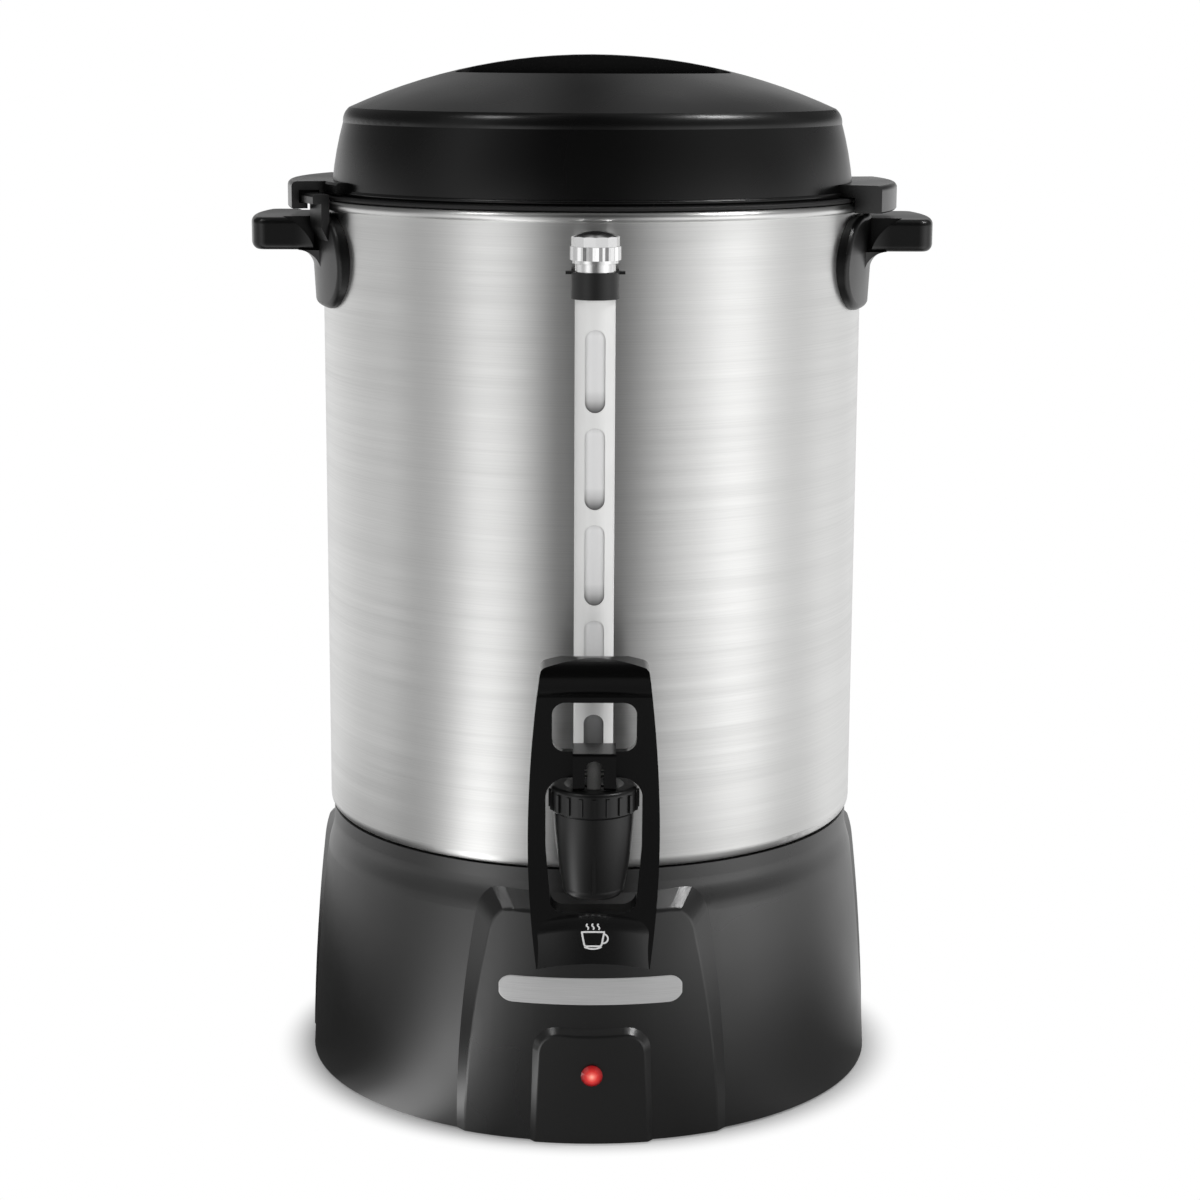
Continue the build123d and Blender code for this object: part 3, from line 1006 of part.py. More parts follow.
def coffee_basket():
    """Basket with a hub that slides on the stem and slits in its floor."""
    hub_in, hub_out = LIFT_TUBE_R + 0.2, LIFT_TUBE_R + 0.2 + HUB_WALL
    floor_top, corner_in = BASKET_BOTTOM_Z + BASKET_WALL, BASKET_CORNER_R + 0.4
    basket = lathe(
        (hub_in, BASKET_BOTTOM_Z), (BASKET_R - BASKET_CORNER_R, BASKET_BOTTOM_Z),
        (BASKET_R, BASKET_BOTTOM_Z + BASKET_CORNER_R), (BASKET_R, BASKET_TOP_Z),
        (BASKET_R - BASKET_WALL, BASKET_TOP_Z), (BASKET_R - BASKET_WALL, BASKET_BOTTOM_Z + corner_in),
        (BASKET_R - corner_in, floor_top), (hub_out, floor_top), (hub_out, BASKET_TOP_Z),
        (hub_in, BASKET_TOP_Z))
    for row in range(2):
        basket -= slits(BASKET_R * (0.38 + 0.32 * row), PERFORATIONS // 2 * (row + 1), BASKET_BOTTOM_Z - 1,
                        floor_top + 1)
    return basket


def basket_cover():
    """Spreader cover with a rim round the basket and slits for the water."""
    rim_in, under = BASKET_R + RUN, BASKET_TOP_Z + RUN
    cover = lathe(
        (LIFT_TUBE_R + 0.6, under), (rim_in, under), (rim_in, under - COVER_RIM_H),
        (rim_in + METAL_T, under - COVER_RIM_H), (rim_in + METAL_T, under + METAL_T),
        (LIFT_TUBE_R + 3, under + METAL_T), (LIFT_TUBE_R + 1.8, under + 7), (LIFT_TUBE_R + 0.6, under + 7))
    for row in range(2):
        cover -= slits(BASKET_R * (0.46 + 0.34 * row), PERFORATIONS // 2 * (row + 1), under - 1, under + 2)
    return cover


# ---- lid --------------------------------------------------------------------------------------
def lid_seal():
    """Black seal ring that rides under the lid's skirt and stands on the rim."""
    inner = SPIGOT_R + RUN
    top = SEAL_Z + SEAL_H
    return turned([*path((inner, top), (inner, SEAL_Z), (SEAL_R - 0.8, SEAL_Z)),
                   ThreePointArc((SEAL_R - 0.8, SEAL_Z), (SEAL_R, SEAL_Z + SEAL_H * 0.4), (SEAL_R - 1, top)),
                   *path((SEAL_R - 1, top), (inner, top))])


def finger_scoops(grow):
    """Plan of the two scoops either side of the grip bar, grown for the wall round them."""
    radius, bar = RECESS_R + grow, GRIP_BAR_T - 2 * grow
    scoops = Circle(radius) - Rectangle(2 * radius + 2, bar)
    return fillet(scoops.vertices(), RECESS_CORNER_R + grow)


def lid_ear():
    """Lock ear over one handle: a channel open at its mouth, and the band that carries it."""
    plate_z = EAR_TOP_Z - EAR_TOP_T
    lip_top = EAR_BOTTOM_Z + LIP_T
    band_z, root_r, step_r = SKIRT_Z + 0.2, SKIRT_R - 2, BEAD_OUT_R + RUN
    sweep = EAR_MOUTH_ANGLE - EAR_CLOSED_ANGLE
    bend = EAR_CORNER_R * (1 - sqrt(0.5))
    corner = ThreePointArc((EAR_R, EAR_TOP_Z - EAR_CORNER_R), (EAR_R - bend, EAR_TOP_Z - bend),
                           (EAR_R - EAR_CORNER_R, EAR_TOP_Z))
    outside = [*path((EAR_R - 0.6, EAR_BOTTOM_Z), (EAR_R, EAR_BOTTOM_Z + 0.6),
                     (EAR_R, EAR_TOP_Z - EAR_CORNER_R)), corner]
    channel = path((EAR_R - EAR_CORNER_R, EAR_TOP_Z), (root_r, EAR_TOP_Z), (root_r, band_z), (step_r, band_z),
                   (step_r, plate_z), (EAR_IN_R, plate_z), (EAR_IN_R, lip_top), (LIP_R, lip_top),
                   (LIP_R, EAR_BOTTOM_Z), (EAR_R - 0.6, EAR_BOTTOM_Z))
    ear = turned(outside + channel, sweep, EAR_CLOSED_ANGLE)
    web = [(step_r, EAR_BOTTOM_Z + 4.8), (step_r, EAR_TOP_Z - 1), (EAR_R - 1, EAR_TOP_Z - EAR_CORNER_R),
           (EAR_R - 1, EAR_BOTTOM_Z + 0.4), (LIP_R, EAR_BOTTOM_Z + 0.4)]
    ear += lathe(*web, arc=1.4, start=EAR_STOP_ANGLE - 1.4)
    closed_end = path((EAR_R - EAR_CORNER_R, EAR_TOP_Z), (step_r, EAR_TOP_Z), (step_r, EAR_BOTTOM_Z),
                      (EAR_R - 0.6, EAR_BOTTOM_Z))
    ear += turned(outside + closed_end, 1.6, EAR_CLOSED_ANGLE)
    band = lathe((root_r, band_z), (EAR_BAND_R - 1, band_z), (EAR_BAND_R, band_z + 0.8),
                 (EAR_BAND_R, EAR_TOP_Z - 1), (EAR_BAND_R - 1, EAR_TOP_Z), (root_r, EAR_TOP_Z),
                 arc=EAR_BAND_ANGLE - EAR_CLOSED_ANGLE, start=EAR_CLOSED_ANGLE)
    return ear + band


def lid_shell():
    """Moulded lid: dome with grip bar and scoops, skirt, spigot and two lock ears."""
    edge_z = dome_z(DOME_EDGE_R)
    shoulder = ((DOME_EDGE_R + SKIRT_TOP_R) / 2 + 0.7, (edge_z + SKIRT_TOP_Z) / 2 + 0.6)
    bead_top = SKIRT_Z + SKIRT_BEAD_H
    skirt_mid = ((SKIRT_TOP_R + SKIRT_R) / 2 + 0.7, (SKIRT_TOP_Z + bead_top) / 2)
    spigot_in, spigot_z = SPIGOT_R - SPIGOT_T, TANK_RIM_Z - SPIGOT_DEPTH
    inner_edge = DOME_EDGE_R - LID_WALL - 1
    inner_shoulder_z = SKIRT_TOP_Z - 1
    dome = ThreePointArc((0, LID_TOP_Z), (DOME_EDGE_R / 2, dome_z(DOME_EDGE_R / 2)),
                         (DOME_EDGE_R, edge_z))
    shell = turned([
        dome, ThreePointArc((DOME_EDGE_R, edge_z), shoulder, (SKIRT_TOP_R, SKIRT_TOP_Z)),
        ThreePointArc((SKIRT_TOP_R, SKIRT_TOP_Z), skirt_mid, (SKIRT_R, bead_top)),
        ThreePointArc((SKIRT_R, bead_top), (SKIRT_BEAD_R, SKIRT_Z + SKIRT_BEAD_H / 2),
                      (SKIRT_R + 0.4, SKIRT_Z)),
        *path((SKIRT_R + 0.4, SKIRT_Z), (SPIGOT_R, SKIRT_Z), (SPIGOT_R, spigot_z), (spigot_in, spigot_z),
              (spigot_in, SKIRT_Z + 3), (SKIRT_TOP_R - LID_WALL, inner_shoulder_z),
              (inner_edge, dome_z(inner_edge, LID_WALL))),
        ThreePointArc((inner_edge, dome_z(inner_edge, LID_WALL)),
                      (inner_edge / 2, dome_z(inner_edge / 2, LID_WALL)), (0, dome_z(0, LID_WALL))),
        Line((0, dome_z(0, LID_WALL)), (0, LID_TOP_Z))])
    under_dome = turned([dome, *path((DOME_EDGE_R, edge_z), (DOME_EDGE_R, SKIRT_TOP_Z),
                                     (0, SKIRT_TOP_Z), (0, LID_TOP_Z))])
    scoop_floor = RECESS_FLOOR_Z - LID_WALL
    walls = Pos(0, 0, scoop_floor) * extrude(finger_scoops(LID_WALL), LID_TOP_Z - scoop_floor)
    scoops = Pos(0, 0, RECESS_FLOOR_Z) * extrude(finger_scoops(0), LID_TOP_Z - RECESS_FLOOR_Z + 5)
    scoops = fillet(scoops.edges().group_by(Axis.Z)[0], 5)
    lid = shell + (walls & under_dome) - scoops
    return lid + around(lid_ear(), (0, 180))


# ---- build and write --------------------------------------------------------------------------
def build():
    """Every piece under its node name; a list is a group of like pieces in one node."""
    right = handle()
    return {
        "tank_shell": tank_shell(), "base_housing": base_housing(), "base_plate": base_plate(),
        "base_feet": base_feet(), "base_screws": base_screws(), "stud_nuts": stud_nuts(),
        "indicator_lens": indicator_lens(), "neon_lamp": neon_lamp(), "power_inlet": power_inlet(),
        "inlet_pins": inlet_pins(), "terminal_block": terminal_block(),
        "heating_well": heating_well(), "well_gasket": well_gasket(), "well_nut": well_nut(),
        "perk_heater": perk_heater(), "warmer_element": warmer_element(), "thermostat": thermostat(),
        "thermal_fuse": thermal_fuse(), "right_handle": right, "left_handle": Rot(0, 0, 180) * right,
        "handle_inserts": handle_inserts(), "handle_screws": handle_screws(),
        "gauge_tube": gauge_tube(), "gauge_washers": gauge_washers(), "gauge_shield": gauge_shield(),
        "gauge_clip": gauge_clip(), "clip_screw": clip_screw(), "gauge_fitting": gauge_fitting(),
        "gauge_cap": gauge_cap(), "faucet_body": faucet_body(), "shank_gasket": shank_gasket(),
        "shank_washer": shank_washer(), "shank_nut": shank_nut(), "faucet_bonnet": faucet_bonnet(),
        "seat_cup": seat_cup(), "valve_stem": valve_stem(), "lever": lever(), "lever_pin": lever_pin(),
        "pump_stem": pump_stem(), "pump_washer": pump_washer(), "coffee_basket": coffee_basket(),
        "basket_cover": basket_cover(), "lid_seal": lid_seal(), "lid_shell": lid_shell(),
    }


def main():
    os.makedirs("parts", exist_ok=True)
    parts.update(build())
    for name, piece in parts.items():
        solids = Compound(children=piece) if isinstance(piece, list) else piece
        export_step(solids, f"parts/{name}.step")


if __name__ == "__main__":
    main()
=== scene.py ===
import math

import bmesh
import bpy
from mathutils import Matrix, Vector
from mathutils.bvhtree import BVHTree


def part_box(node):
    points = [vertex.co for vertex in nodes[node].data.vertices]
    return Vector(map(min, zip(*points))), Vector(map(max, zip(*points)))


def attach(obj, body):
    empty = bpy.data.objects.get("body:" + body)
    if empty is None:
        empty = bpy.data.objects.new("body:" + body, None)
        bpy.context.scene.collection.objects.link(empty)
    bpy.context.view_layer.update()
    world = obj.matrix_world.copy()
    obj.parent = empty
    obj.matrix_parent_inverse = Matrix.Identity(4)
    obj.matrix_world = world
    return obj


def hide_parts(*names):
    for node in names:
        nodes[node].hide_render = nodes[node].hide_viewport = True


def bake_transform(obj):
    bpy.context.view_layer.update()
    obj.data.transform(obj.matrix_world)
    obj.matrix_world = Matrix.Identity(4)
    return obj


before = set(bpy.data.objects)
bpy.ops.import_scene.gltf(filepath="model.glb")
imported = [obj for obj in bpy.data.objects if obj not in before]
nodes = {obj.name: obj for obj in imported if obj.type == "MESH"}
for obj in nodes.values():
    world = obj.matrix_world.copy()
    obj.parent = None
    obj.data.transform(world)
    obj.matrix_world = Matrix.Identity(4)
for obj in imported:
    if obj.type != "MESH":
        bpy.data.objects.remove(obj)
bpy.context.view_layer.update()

# ---- the studio --------------------------------------------------------------------------------
# The urn stands on a round white table, with a soft box high up on either side and a fill in front
# that shiny pieces don't mirror. The room is darker in front, beside the camera and high up behind, and
# that draws the bands down the drum and leaves the lid dark in the middle.
TABLE_R = 0.78
CLEAR_R, FADE_R = 0.122, 0.148            # the table keeps the urn's shadow inside, and is white outside
FLOOR_END_R, WALL_START_R = 0.30, 0.50    # shiny pieces see painted light and shade on the floor inside, and the walls' bands outside
LEVEL_END, HIGH_START = -0.05, 0.20       # the sky's height where its level bands end and its high ones start
LEVEL_ROOM = [
    # turn from the front, in degrees with the right hand side positive, and the room's brightness
    (-180, 0.92), (-138, 0.84), (-110, 0.72), (-93, 0.74), (-77, 0.48), (-63, 0.60), (-48, 1.26),
    (-35, 1.12), (-23, 0.58), (-16, 0.20), (6, 0.14), (14, 0.29), (22, 0.52), (32, 0.84), (44, 1.08),
    (58, 1.48), (67, 1.48), (80, 1.04), (96, 0.78), (117, 0.96), (140, 0.84), (180, 0.92),
]
HIGH_ROOM = [
    (-180, 0.04), (-175, 0.20), (-171, 0.40), (-164, 0.20), (-150, 0.14), (-120, 0.10), (-85, 0.12),
    (-62, 0.45), (-45, 0.22), (-25, 0.06), (-12, 0.02), (14, 0.02), (40, 0.14), (60, 0.22), (84, 0.20),
    (104, 0.30), (125, 0.14), (148, 0.12), (160, 0.14), (166, 0.26), (171, 0.52), (175, 0.24), (180, 0.04),
]
# The floor as shiny pieces see it, by turn: painted pools of soft-box light, and painted shade near the urn
PAINTED_FLOOR_LIGHT = [
    (-180, 0.10), (-120, 0.04), (-84, 0.05), (-66, 0.12), (-56, 0.55), (-48, 2.00), (-40, 2.30),
    (-32, 0.60), (-20, 0.16), (20, 0.10), (34, 0.16), (46, 0.26), (60, 0.16), (80, 0.12), (96, 0.40),
    (112, 0.80), (135, 0.50), (180, 0.10),
]
LAMPS = {
    # name: (turn from the front, elevation, distance, width, height, power, seen in shiny pieces)
    "left_soft_box": (-62, 56, 1.5, 0.20, 0.28, 1.5, True),
    "right_soft_box": (80, 56, 1.5, 0.16, 0.28, 6, True),
    "front_fill": (6, 18, 2.4, 1.2, 1.2, 14, False),
}
AIM = Vector((0, 0, 0.24))
CAMERA_REACH, CAMERA_HEIGHT = 1.226, 0.4604
CAMERA_TURN, CAMERA_TILT, CAMERA_ROLL = -0.6, 11.5, 0.25
MIX_A, MIX_B, MIX_RESULT = 6, 7, 2        # a Mix node's sockets for colours


def new_material(name):
    """An empty node material, with its tree and its Principled surface."""
    material = bpy.data.materials.new(name)
    material.use_nodes = True
    return material, material.node_tree, material.node_tree.nodes["Principled BSDF"]


def feed(tree, node, inputs):
    """Set a node's inputs to values, or join them to other nodes' outputs."""
    for socket, value in inputs.items():
        if isinstance(value, bpy.types.NodeSocket):
            tree.links.new(value, node.inputs[socket])
        else:
            node.inputs[socket].default_value = value


def put(tree, kind, inputs=(), **settings):
    """A new node with some settings, and its inputs fed."""
    node = tree.nodes.new("ShaderNode" + kind)
    for setting, value in settings.items():
        setattr(node, setting, value)
    feed(tree, node, dict(inputs))
    return node


def maths(tree, operation, *values):
    """What a sum comes to, on some values or outputs."""
    return put(tree, "Math", dict(enumerate(values)), operation=operation).outputs[0]


def spread(tree, value, start, end, low=0.0, high=1.0, **settings):
    """A value carried from the range start to end into the range low to high."""
    return put(tree, "MapRange", {0: value, 1: start, 2: end, 3: low, 4: high}, **settings).outputs[0]


def ease(tree, value, start, end, low=0.0, high=1.0):
    """The same, leaving each end of the range smoothly."""
    return spread(tree, value, start, end, low, high, interpolation_type="SMOOTHSTEP")


def ramp(tree, factor, stops):
    """A colour ramp over some (position, grey or colour) stops."""
    node = put(tree, "ValToRGB", {0: factor})
    marks = node.color_ramp.elements
    while len(marks) < len(stops):
        marks.new(0.5)
    for mark, (position, shade) in zip(marks, stops):
        mark.position = position
        mark.color = (*shade, 1) if isinstance(shade, tuple) else (shade, shade, shade, 1)
    return node.outputs[0]


def mix_colours(tree, share, first, second):
    """The first colour at a share of 0, and the second at a share of 1."""
    node = put(tree, "Mix", {0: share, MIX_A: first, MIX_B: second}, data_type="RGBA")
    return node.outputs[MIX_RESULT]


def mix_shaders(tree, share, first, second):
    """The first shader at a share of 0, and the second at a share of 1."""
    return put(tree, "MixShader", {0: share, 1: first, 2: second}).outputs[0]


def turn_from_front(tree, place):
    """How far round from the urn's front a place or direction is, in radians."""
    part = put(tree, "SeparateXYZ", {0: place}).outputs
    return maths(tree, "ARCTAN2", part["X"], maths(tree, "MULTIPLY", part["Y"], -1.0))


def room_bands(tree, direction, stops):
    """The room's brightness by turn, for a direction out from the urn."""
    share = spread(tree, turn_from_front(tree, direction), -math.pi, math.pi)
    return ramp(tree, share, [(0.5 + angle / 360, shade) for angle, shade in stops])


bpy.ops.mesh.primitive_circle_add(vertices=96, radius=TABLE_R, fill_type="NGON", location=(0, 0, 0))
table = bpy.context.object
table.name = "studio_table"
white_table, tree, surface = new_material("white_table")
feed(tree, surface, {"Base Color": (0.80, 0.80, 0.80, 1), "Roughness": 0.7})
place = put(tree, "NewGeometry").outputs["Position"]
distance = put(tree, "VectorMath", {0: place}, operation="LENGTH").outputs["Value"]
paths = put(tree, "LightPath").outputs
through = maths(tree, "MAXIMUM", ease(tree, distance, CLEAR_R, FADE_R), paths["Is Transmission Ray"])
daylight = put(tree, "Emission", {"Strength": 1.0})
# Shiny pieces see the table as emission: painted light and shade on the floor near the urn, and the walls'
# bands farther out.
bands = mix_colours(tree, ease(tree, distance, FLOOR_END_R, WALL_START_R),
                    room_bands(tree, place, PAINTED_FLOOR_LIGHT), room_bands(tree, place, LEVEL_ROOM))
painted_floor_glow = put(tree, "Emission", {"Color": bands, "Strength": 1.0})
seen = mix_shaders(tree, through, surface.outputs[0], daylight.outputs[0])
table_top = mix_shaders(tree, paths["Is Glossy Ray"], seen, painted_floor_glow.outputs[0])
feed(tree, tree.nodes["Material Output"], {"Surface": table_top})
table.data.materials.append(white_table)

world = bpy.data.worlds.new("studio")
bpy.context.scene.world = world
world.use_nodes = True
tree = world.node_tree
sky = put(tree, "TexCoord").outputs["Generated"]
height = put(tree, "SeparateXYZ", {0: sky}).outputs["Z"]
bands = mix_colours(tree, ease(tree, height, LEVEL_END, HIGH_START),
                    room_bands(tree, sky, LEVEL_ROOM), room_bands(tree, sky, HIGH_ROOM))
walls = tree.nodes["Background"]
feed(tree, walls, {"Color": bands})
backdrop = put(tree, "Background", {"Color": (1, 1, 1, 1), "Strength": 1.0})
paths = put(tree, "LightPath").outputs
open_view = maths(tree, "MAXIMUM", paths["Is Camera Ray"], paths["Is Transmission Ray"])
room = mix_shaders(tree, open_view, walls.outputs[0], backdrop.outputs[0])
feed(tree, tree.nodes["World Output"], {"Surface": room})

for name, (turn, elevation, distance, width, height, power, shines) in LAMPS.items():
    light = bpy.data.lights.new(name, "AREA")
    light.shape = "RECTANGLE"
    light.size, light.size_y = width, height
    light.energy = power
    lamp = bpy.data.objects.new(name, light)
    lamp.visible_glossy = shines
    bpy.context.scene.collection.objects.link(lamp)
    turn, lift = math.radians(turn), math.radians(elevation)
    way = Vector((math.sin(turn) * math.cos(lift), -math.cos(turn) * math.cos(lift), math.sin(lift)))
    lamp.location = AIM + way * distance
    lamp.rotation_euler = (-way).to_track_quat("-Z", "Y").to_euler()

around_urn = Matrix.Rotation(math.radians(CAMERA_TURN), 4, "Z")
camera = bpy.data.objects.new("camera", bpy.data.cameras.new("camera"))
bpy.context.scene.collection.objects.link(camera)
camera.matrix_world = (around_urn @ Matrix.Translation((0, -CAMERA_REACH, CAMERA_HEIGHT))
                       @ Matrix.Rotation(math.radians(90 - CAMERA_TILT), 4, "X")
                       @ Matrix.Rotation(math.radians(CAMERA_ROLL), 4, "Z"))
camera.data.lens = 81.47
camera.data.sensor_width = 36
camera.data.shift_x = 0.0079
camera.data.clip_start = 0.05
bpy.context.scene.camera = camera
bpy.context.scene.view_settings.view_transform = "Standard"

# ---- tank --------------------------------------------------------------------------------------
# The drum is drawn from aluminium sheet, its rim rolled over. It is brushed on a lathe, so its grain
# runs level and smears the light up and down.
SCRATCHES, STREAKS = 2000.0, 220.0        # to a metre of height
SCRATCH_ROUND, STREAK_ROUND = 1.3, 0.4    # scratches to a radian round, and streaks to a scratch
GRAIN_DEPTH = 0.00005


def dress(material, *names):
    """Give some nodes a material."""
    for name in names:
        nodes[name].data.materials.clear()
        nodes[name].data.materials.append(material)


def place_on(tree):
    """The place on the urn, in metres."""
    return put(tree, "TexCoord").outputs["Object"]


def stretched(tree, place, scale):
    """A place multiplied by a scale along each axis."""
    return put(tree, "Mapping", {"Vector": place, "Scale": scale}).outputs[0]


def noise(tree, place, scale=1.0, detail=2.0, roughness=0.5):
    """A cloudy pattern from 0 to 1, with its scale in clouds to a metre."""
    inputs = {"Vector": place, "Scale": scale, "Detail": detail, "Roughness": roughness}
    return put(tree, "TexNoise", inputs).outputs[0]


def relief(tree, height, strength, depth):
    """The way a surface faces where it has a fine relief."""
    return put(tree, "Bump", {"Height": height, "Strength": strength, "Distance": depth}).outputs[0]


def darker(colour, share):
    """A colour at some share of its brightness."""
    return tuple(share * part for part in colour)


def lathe_brushed(name, colour, polish, scratch, streak):
    """Metal brushed on a lathe: fine level scratches, and a smear of light across them."""
    material, tree, surface = new_material(name)
    place = place_on(tree)
    height = put(tree, "SeparateXYZ", {0: place}).outputs["Z"]
    round_tank = maths(tree, "MULTIPLY", turn_from_front(tree, place), SCRATCH_ROUND)
    across = put(tree, "CombineXYZ", {0: round_tank, 1: height}).outputs[0]
    scratches = noise(tree, stretched(tree, across, (1.0, SCRATCHES, 1.0)), detail=4.0, roughness=0.7)
    streaks = noise(tree, stretched(tree, across, (STREAK_ROUND, STREAKS, 1.0)))
    feed(tree, surface, {
        "Base Color": ramp(tree, scratches, [(0.35, darker(colour, 0.93)), (0.6, colour)]),
        "Roughness": spread(tree, streaks, 0.3, 0.7, polish - streak, polish + streak),
        "Normal": relief(tree, scratches, scratch, GRAIN_DEPTH),
        "Tangent": put(tree, "Tangent", direction_type="RADIAL", axis="Z").outputs[0],
        "Metallic": 1.0, "Anisotropic": 0.75, "Anisotropic Rotation": 0.25,
    })
    return material


dress(lathe_brushed("brushed_aluminium", (0.83, 0.83, 0.82), 0.35, 0.10, 0.03), "tank_shell")

# ---- base --------------------------------------------------------------------------------------
# One heavy moulding in black heat-proof plastic, with a fine matt grain, stands on the feet and holds
# the tank on its shelf.
PIT_DEPTH = 0.0001


def moulded(name, colour, gloss, grain=0.0004, pitted=0.15, drift=0.04, shine=0.5):
    """Moulded plastic with the mould's fine grain, a little shinier in some places than in others."""
    material, tree, surface = new_material(name)
    place = place_on(tree)
    pits = noise(tree, place, 1 / grain, detail=3.0, roughness=0.65)
    sheen = noise(tree, place, 16.0)
    feed(tree, surface, {
        "Base Color": ramp(tree, pits, [(0.35, darker(colour, 0.8)), (0.62, colour)]),
        "Roughness": spread(tree, sheen, 0.35, 0.65, gloss - drift, gloss + drift),
        "Normal": relief(tree, pits, pitted, PIT_DEPTH),
        "Specular IOR Level": shine,
    })
    return material


dress(moulded("base_moulding", (0.008, 0.008, 0.0078), 0.31, pitted=0.22, shine=1.0), "base_housing")

# ---- front plate -------------------------------------------------------------------------------
# A thin bare plate of satin aluminium, with round ends and a fine bevel, is stuck to the front arch and
# follows its curve.
PLATE_LEFT, PLATE_RIGHT = -0.0396, 0.0384
PLATE_LOW, PLATE_HIGH = 0.0617, 0.0733
PLATE_THICK, PLATE_BEVEL, PLATE_SUNK = 0.0004, 0.0004, 0.0002
EDGE_SHARE = 0.6                          # of the thickness, where the bevel ends
PLATE_COLUMNS, PLATE_ROWS = 72, 8
MIDDLE_X, HALF_W = (PLATE_LEFT + PLATE_RIGHT) / 2, (PLATE_RIGHT - PLATE_LEFT) / 2
MIDDLE_Z, HALF_H = (PLATE_LOW + PLATE_HIGH) / 2, (PLATE_HIGH - PLATE_LOW) / 2
STRAIGHT_HALF = HALF_W - HALF_H
AHEAD_Y = -0.4                            # clear of the whole urn
WELD = 0.00001


def surface_of(node):
    """A node's surface, ready to be probed with rays."""
    mesh = bmesh.new()
    mesh.from_mesh(nodes[node].data)
    probe = BVHTree.FromBMesh(mesh)
    mesh.free()
    return probe


def front_of(probe, x, z, proud):
    """The point in front of the surface at some x and z, standing proud of it by so much."""
    hit, facing, _, _ = probe.ray_cast(Vector((x, AHEAD_Y, z)), Vector((0, 1, 0)))
    return hit + facing * proud


def new_piece(name, mesh, material, body):
    """Turn a bmesh into a piece that rides on a body."""
    data = bpy.data.meshes.new(name)
    bmesh.ops.recalc_face_normals(mesh, faces=mesh.faces)
    mesh.to_mesh(data)
    mesh.free()
    data.materials.append(material)
    piece = bpy.data.objects.new(name, data)
    bpy.context.scene.collection.objects.link(piece)
    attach(piece, body)
    return piece


def plate_point(share_x, share_z):
    """A point of the plate's flat face, by its share of the way from the middle to the edge."""
    narrow = HALF_H - PLATE_BEVEL
    x = (HALF_W - PLATE_BEVEL) * math.sin(share_x * math.pi / 2)
    over = max(0.0, abs(x) - STRAIGHT_HALF) * narrow / HALF_H
    z = share_z * math.sqrt(max(0.0, narrow ** 2 - over ** 2))
    return front_of(base_front, MIDDLE_X + x, MIDDLE_Z + z, PLATE_THICK)


def away_from_spine(point):
    """The way out from the plate's middle line, square to its rim."""
    x, z = point.x - MIDDLE_X, point.z - MIDDLE_Z
    along = max(-1.0, min(1.0, x / STRAIGHT_HALF)) * STRAIGHT_HALF
    return Vector((x - along, 0, z)).normalized()


base_front = surface_of("base_housing")
mesh = bmesh.new()
face = [[mesh.verts.new(plate_point(i / PLATE_COLUMNS * 2 - 1, j / PLATE_ROWS * 2 - 1))
         for j in range(PLATE_ROWS + 1)] for i in range(PLATE_COLUMNS + 1)]
for i in range(PLATE_COLUMNS):
    for j in range(PLATE_ROWS):
        mesh.faces.new((face[i][j], face[i + 1][j], face[i + 1][j + 1], face[i][j + 1]))
bmesh.ops.remove_doubles(mesh, verts=mesh.verts, dist=WELD)
for grow, proud in ((PLATE_BEVEL, PLATE_THICK * EDGE_SHARE), (0.0, -PLATE_SUNK)):
    rim = [edge for edge in mesh.edges if edge.is_boundary]
    grown = bmesh.ops.extrude_edge_only(mesh, edges=rim)["geom"]
    for vertex in [item for item in grown if isinstance(item, bmesh.types.BMVert)]:
        spot = vertex.co + away_from_spine(vertex.co) * grow
        vertex.co = front_of(base_front, spot.x, spot.z, proud)
satin, tree, surface = new_material("satin_aluminium")
grain = noise(tree, stretched(tree, place_on(tree), (60.0, 60.0, 3500.0)), detail=3.0)
feed(tree, surface, {
    "Base Color": ramp(tree, grain, [(0.3, 0.56), (0.7, 0.64)]),
    "Normal": relief(tree, grain, 0.1, GRAIN_DEPTH),
    "Metallic": 0.35, "Roughness": 0.45,
})
new_piece("bare_front_plate", mesh, satin, "urn")

# ---- under the base ----------------------------------------------------------------------------
# A zinc-plated steel plate with vent slots closes the base. Three screws hold it to the bosses, and
# three rubber feet are pushed through it.
def zinc_plated(name, colour, gloss):
    """Rolled steel with its spangled zinc coat."""
    material, tree, surface = new_material(name)
    place = place_on(tree)
    spangle = put(tree, "TexVoronoi", {"Vector": place, "Scale": 220.0}).outputs["Color"]
    haze = noise(tree, place, 40.0, detail=3.0)
    feed(tree, surface, {
        "Base Color": ramp(tree, spangle, [(0.0, darker(colour, 0.85)), (1.0, colour)]),
        "Roughness": spread(tree, haze, 0.3, 0.7, gloss - 0.07, gloss + 0.07),
        "Metallic": 1.0,
    })
    return material


dress(zinc_plated("zinc_plated_steel", (0.56, 0.56, 0.55), 0.42), "base_plate", "thermostat")
dress(zinc_plated("plated_screws", (0.64, 0.64, 0.62), 0.28), "base_screws", "stud_nuts", "handle_screws",
      "clip_screw", "lever_pin", "shank_nut")
dress(moulded("rubber", (0.022, 0.022, 0.022), 0.72, grain=0.0003, pitted=0.3), "base_feet", "gauge_washers",
      "well_gasket", "shank_gasket", "shank_washer")

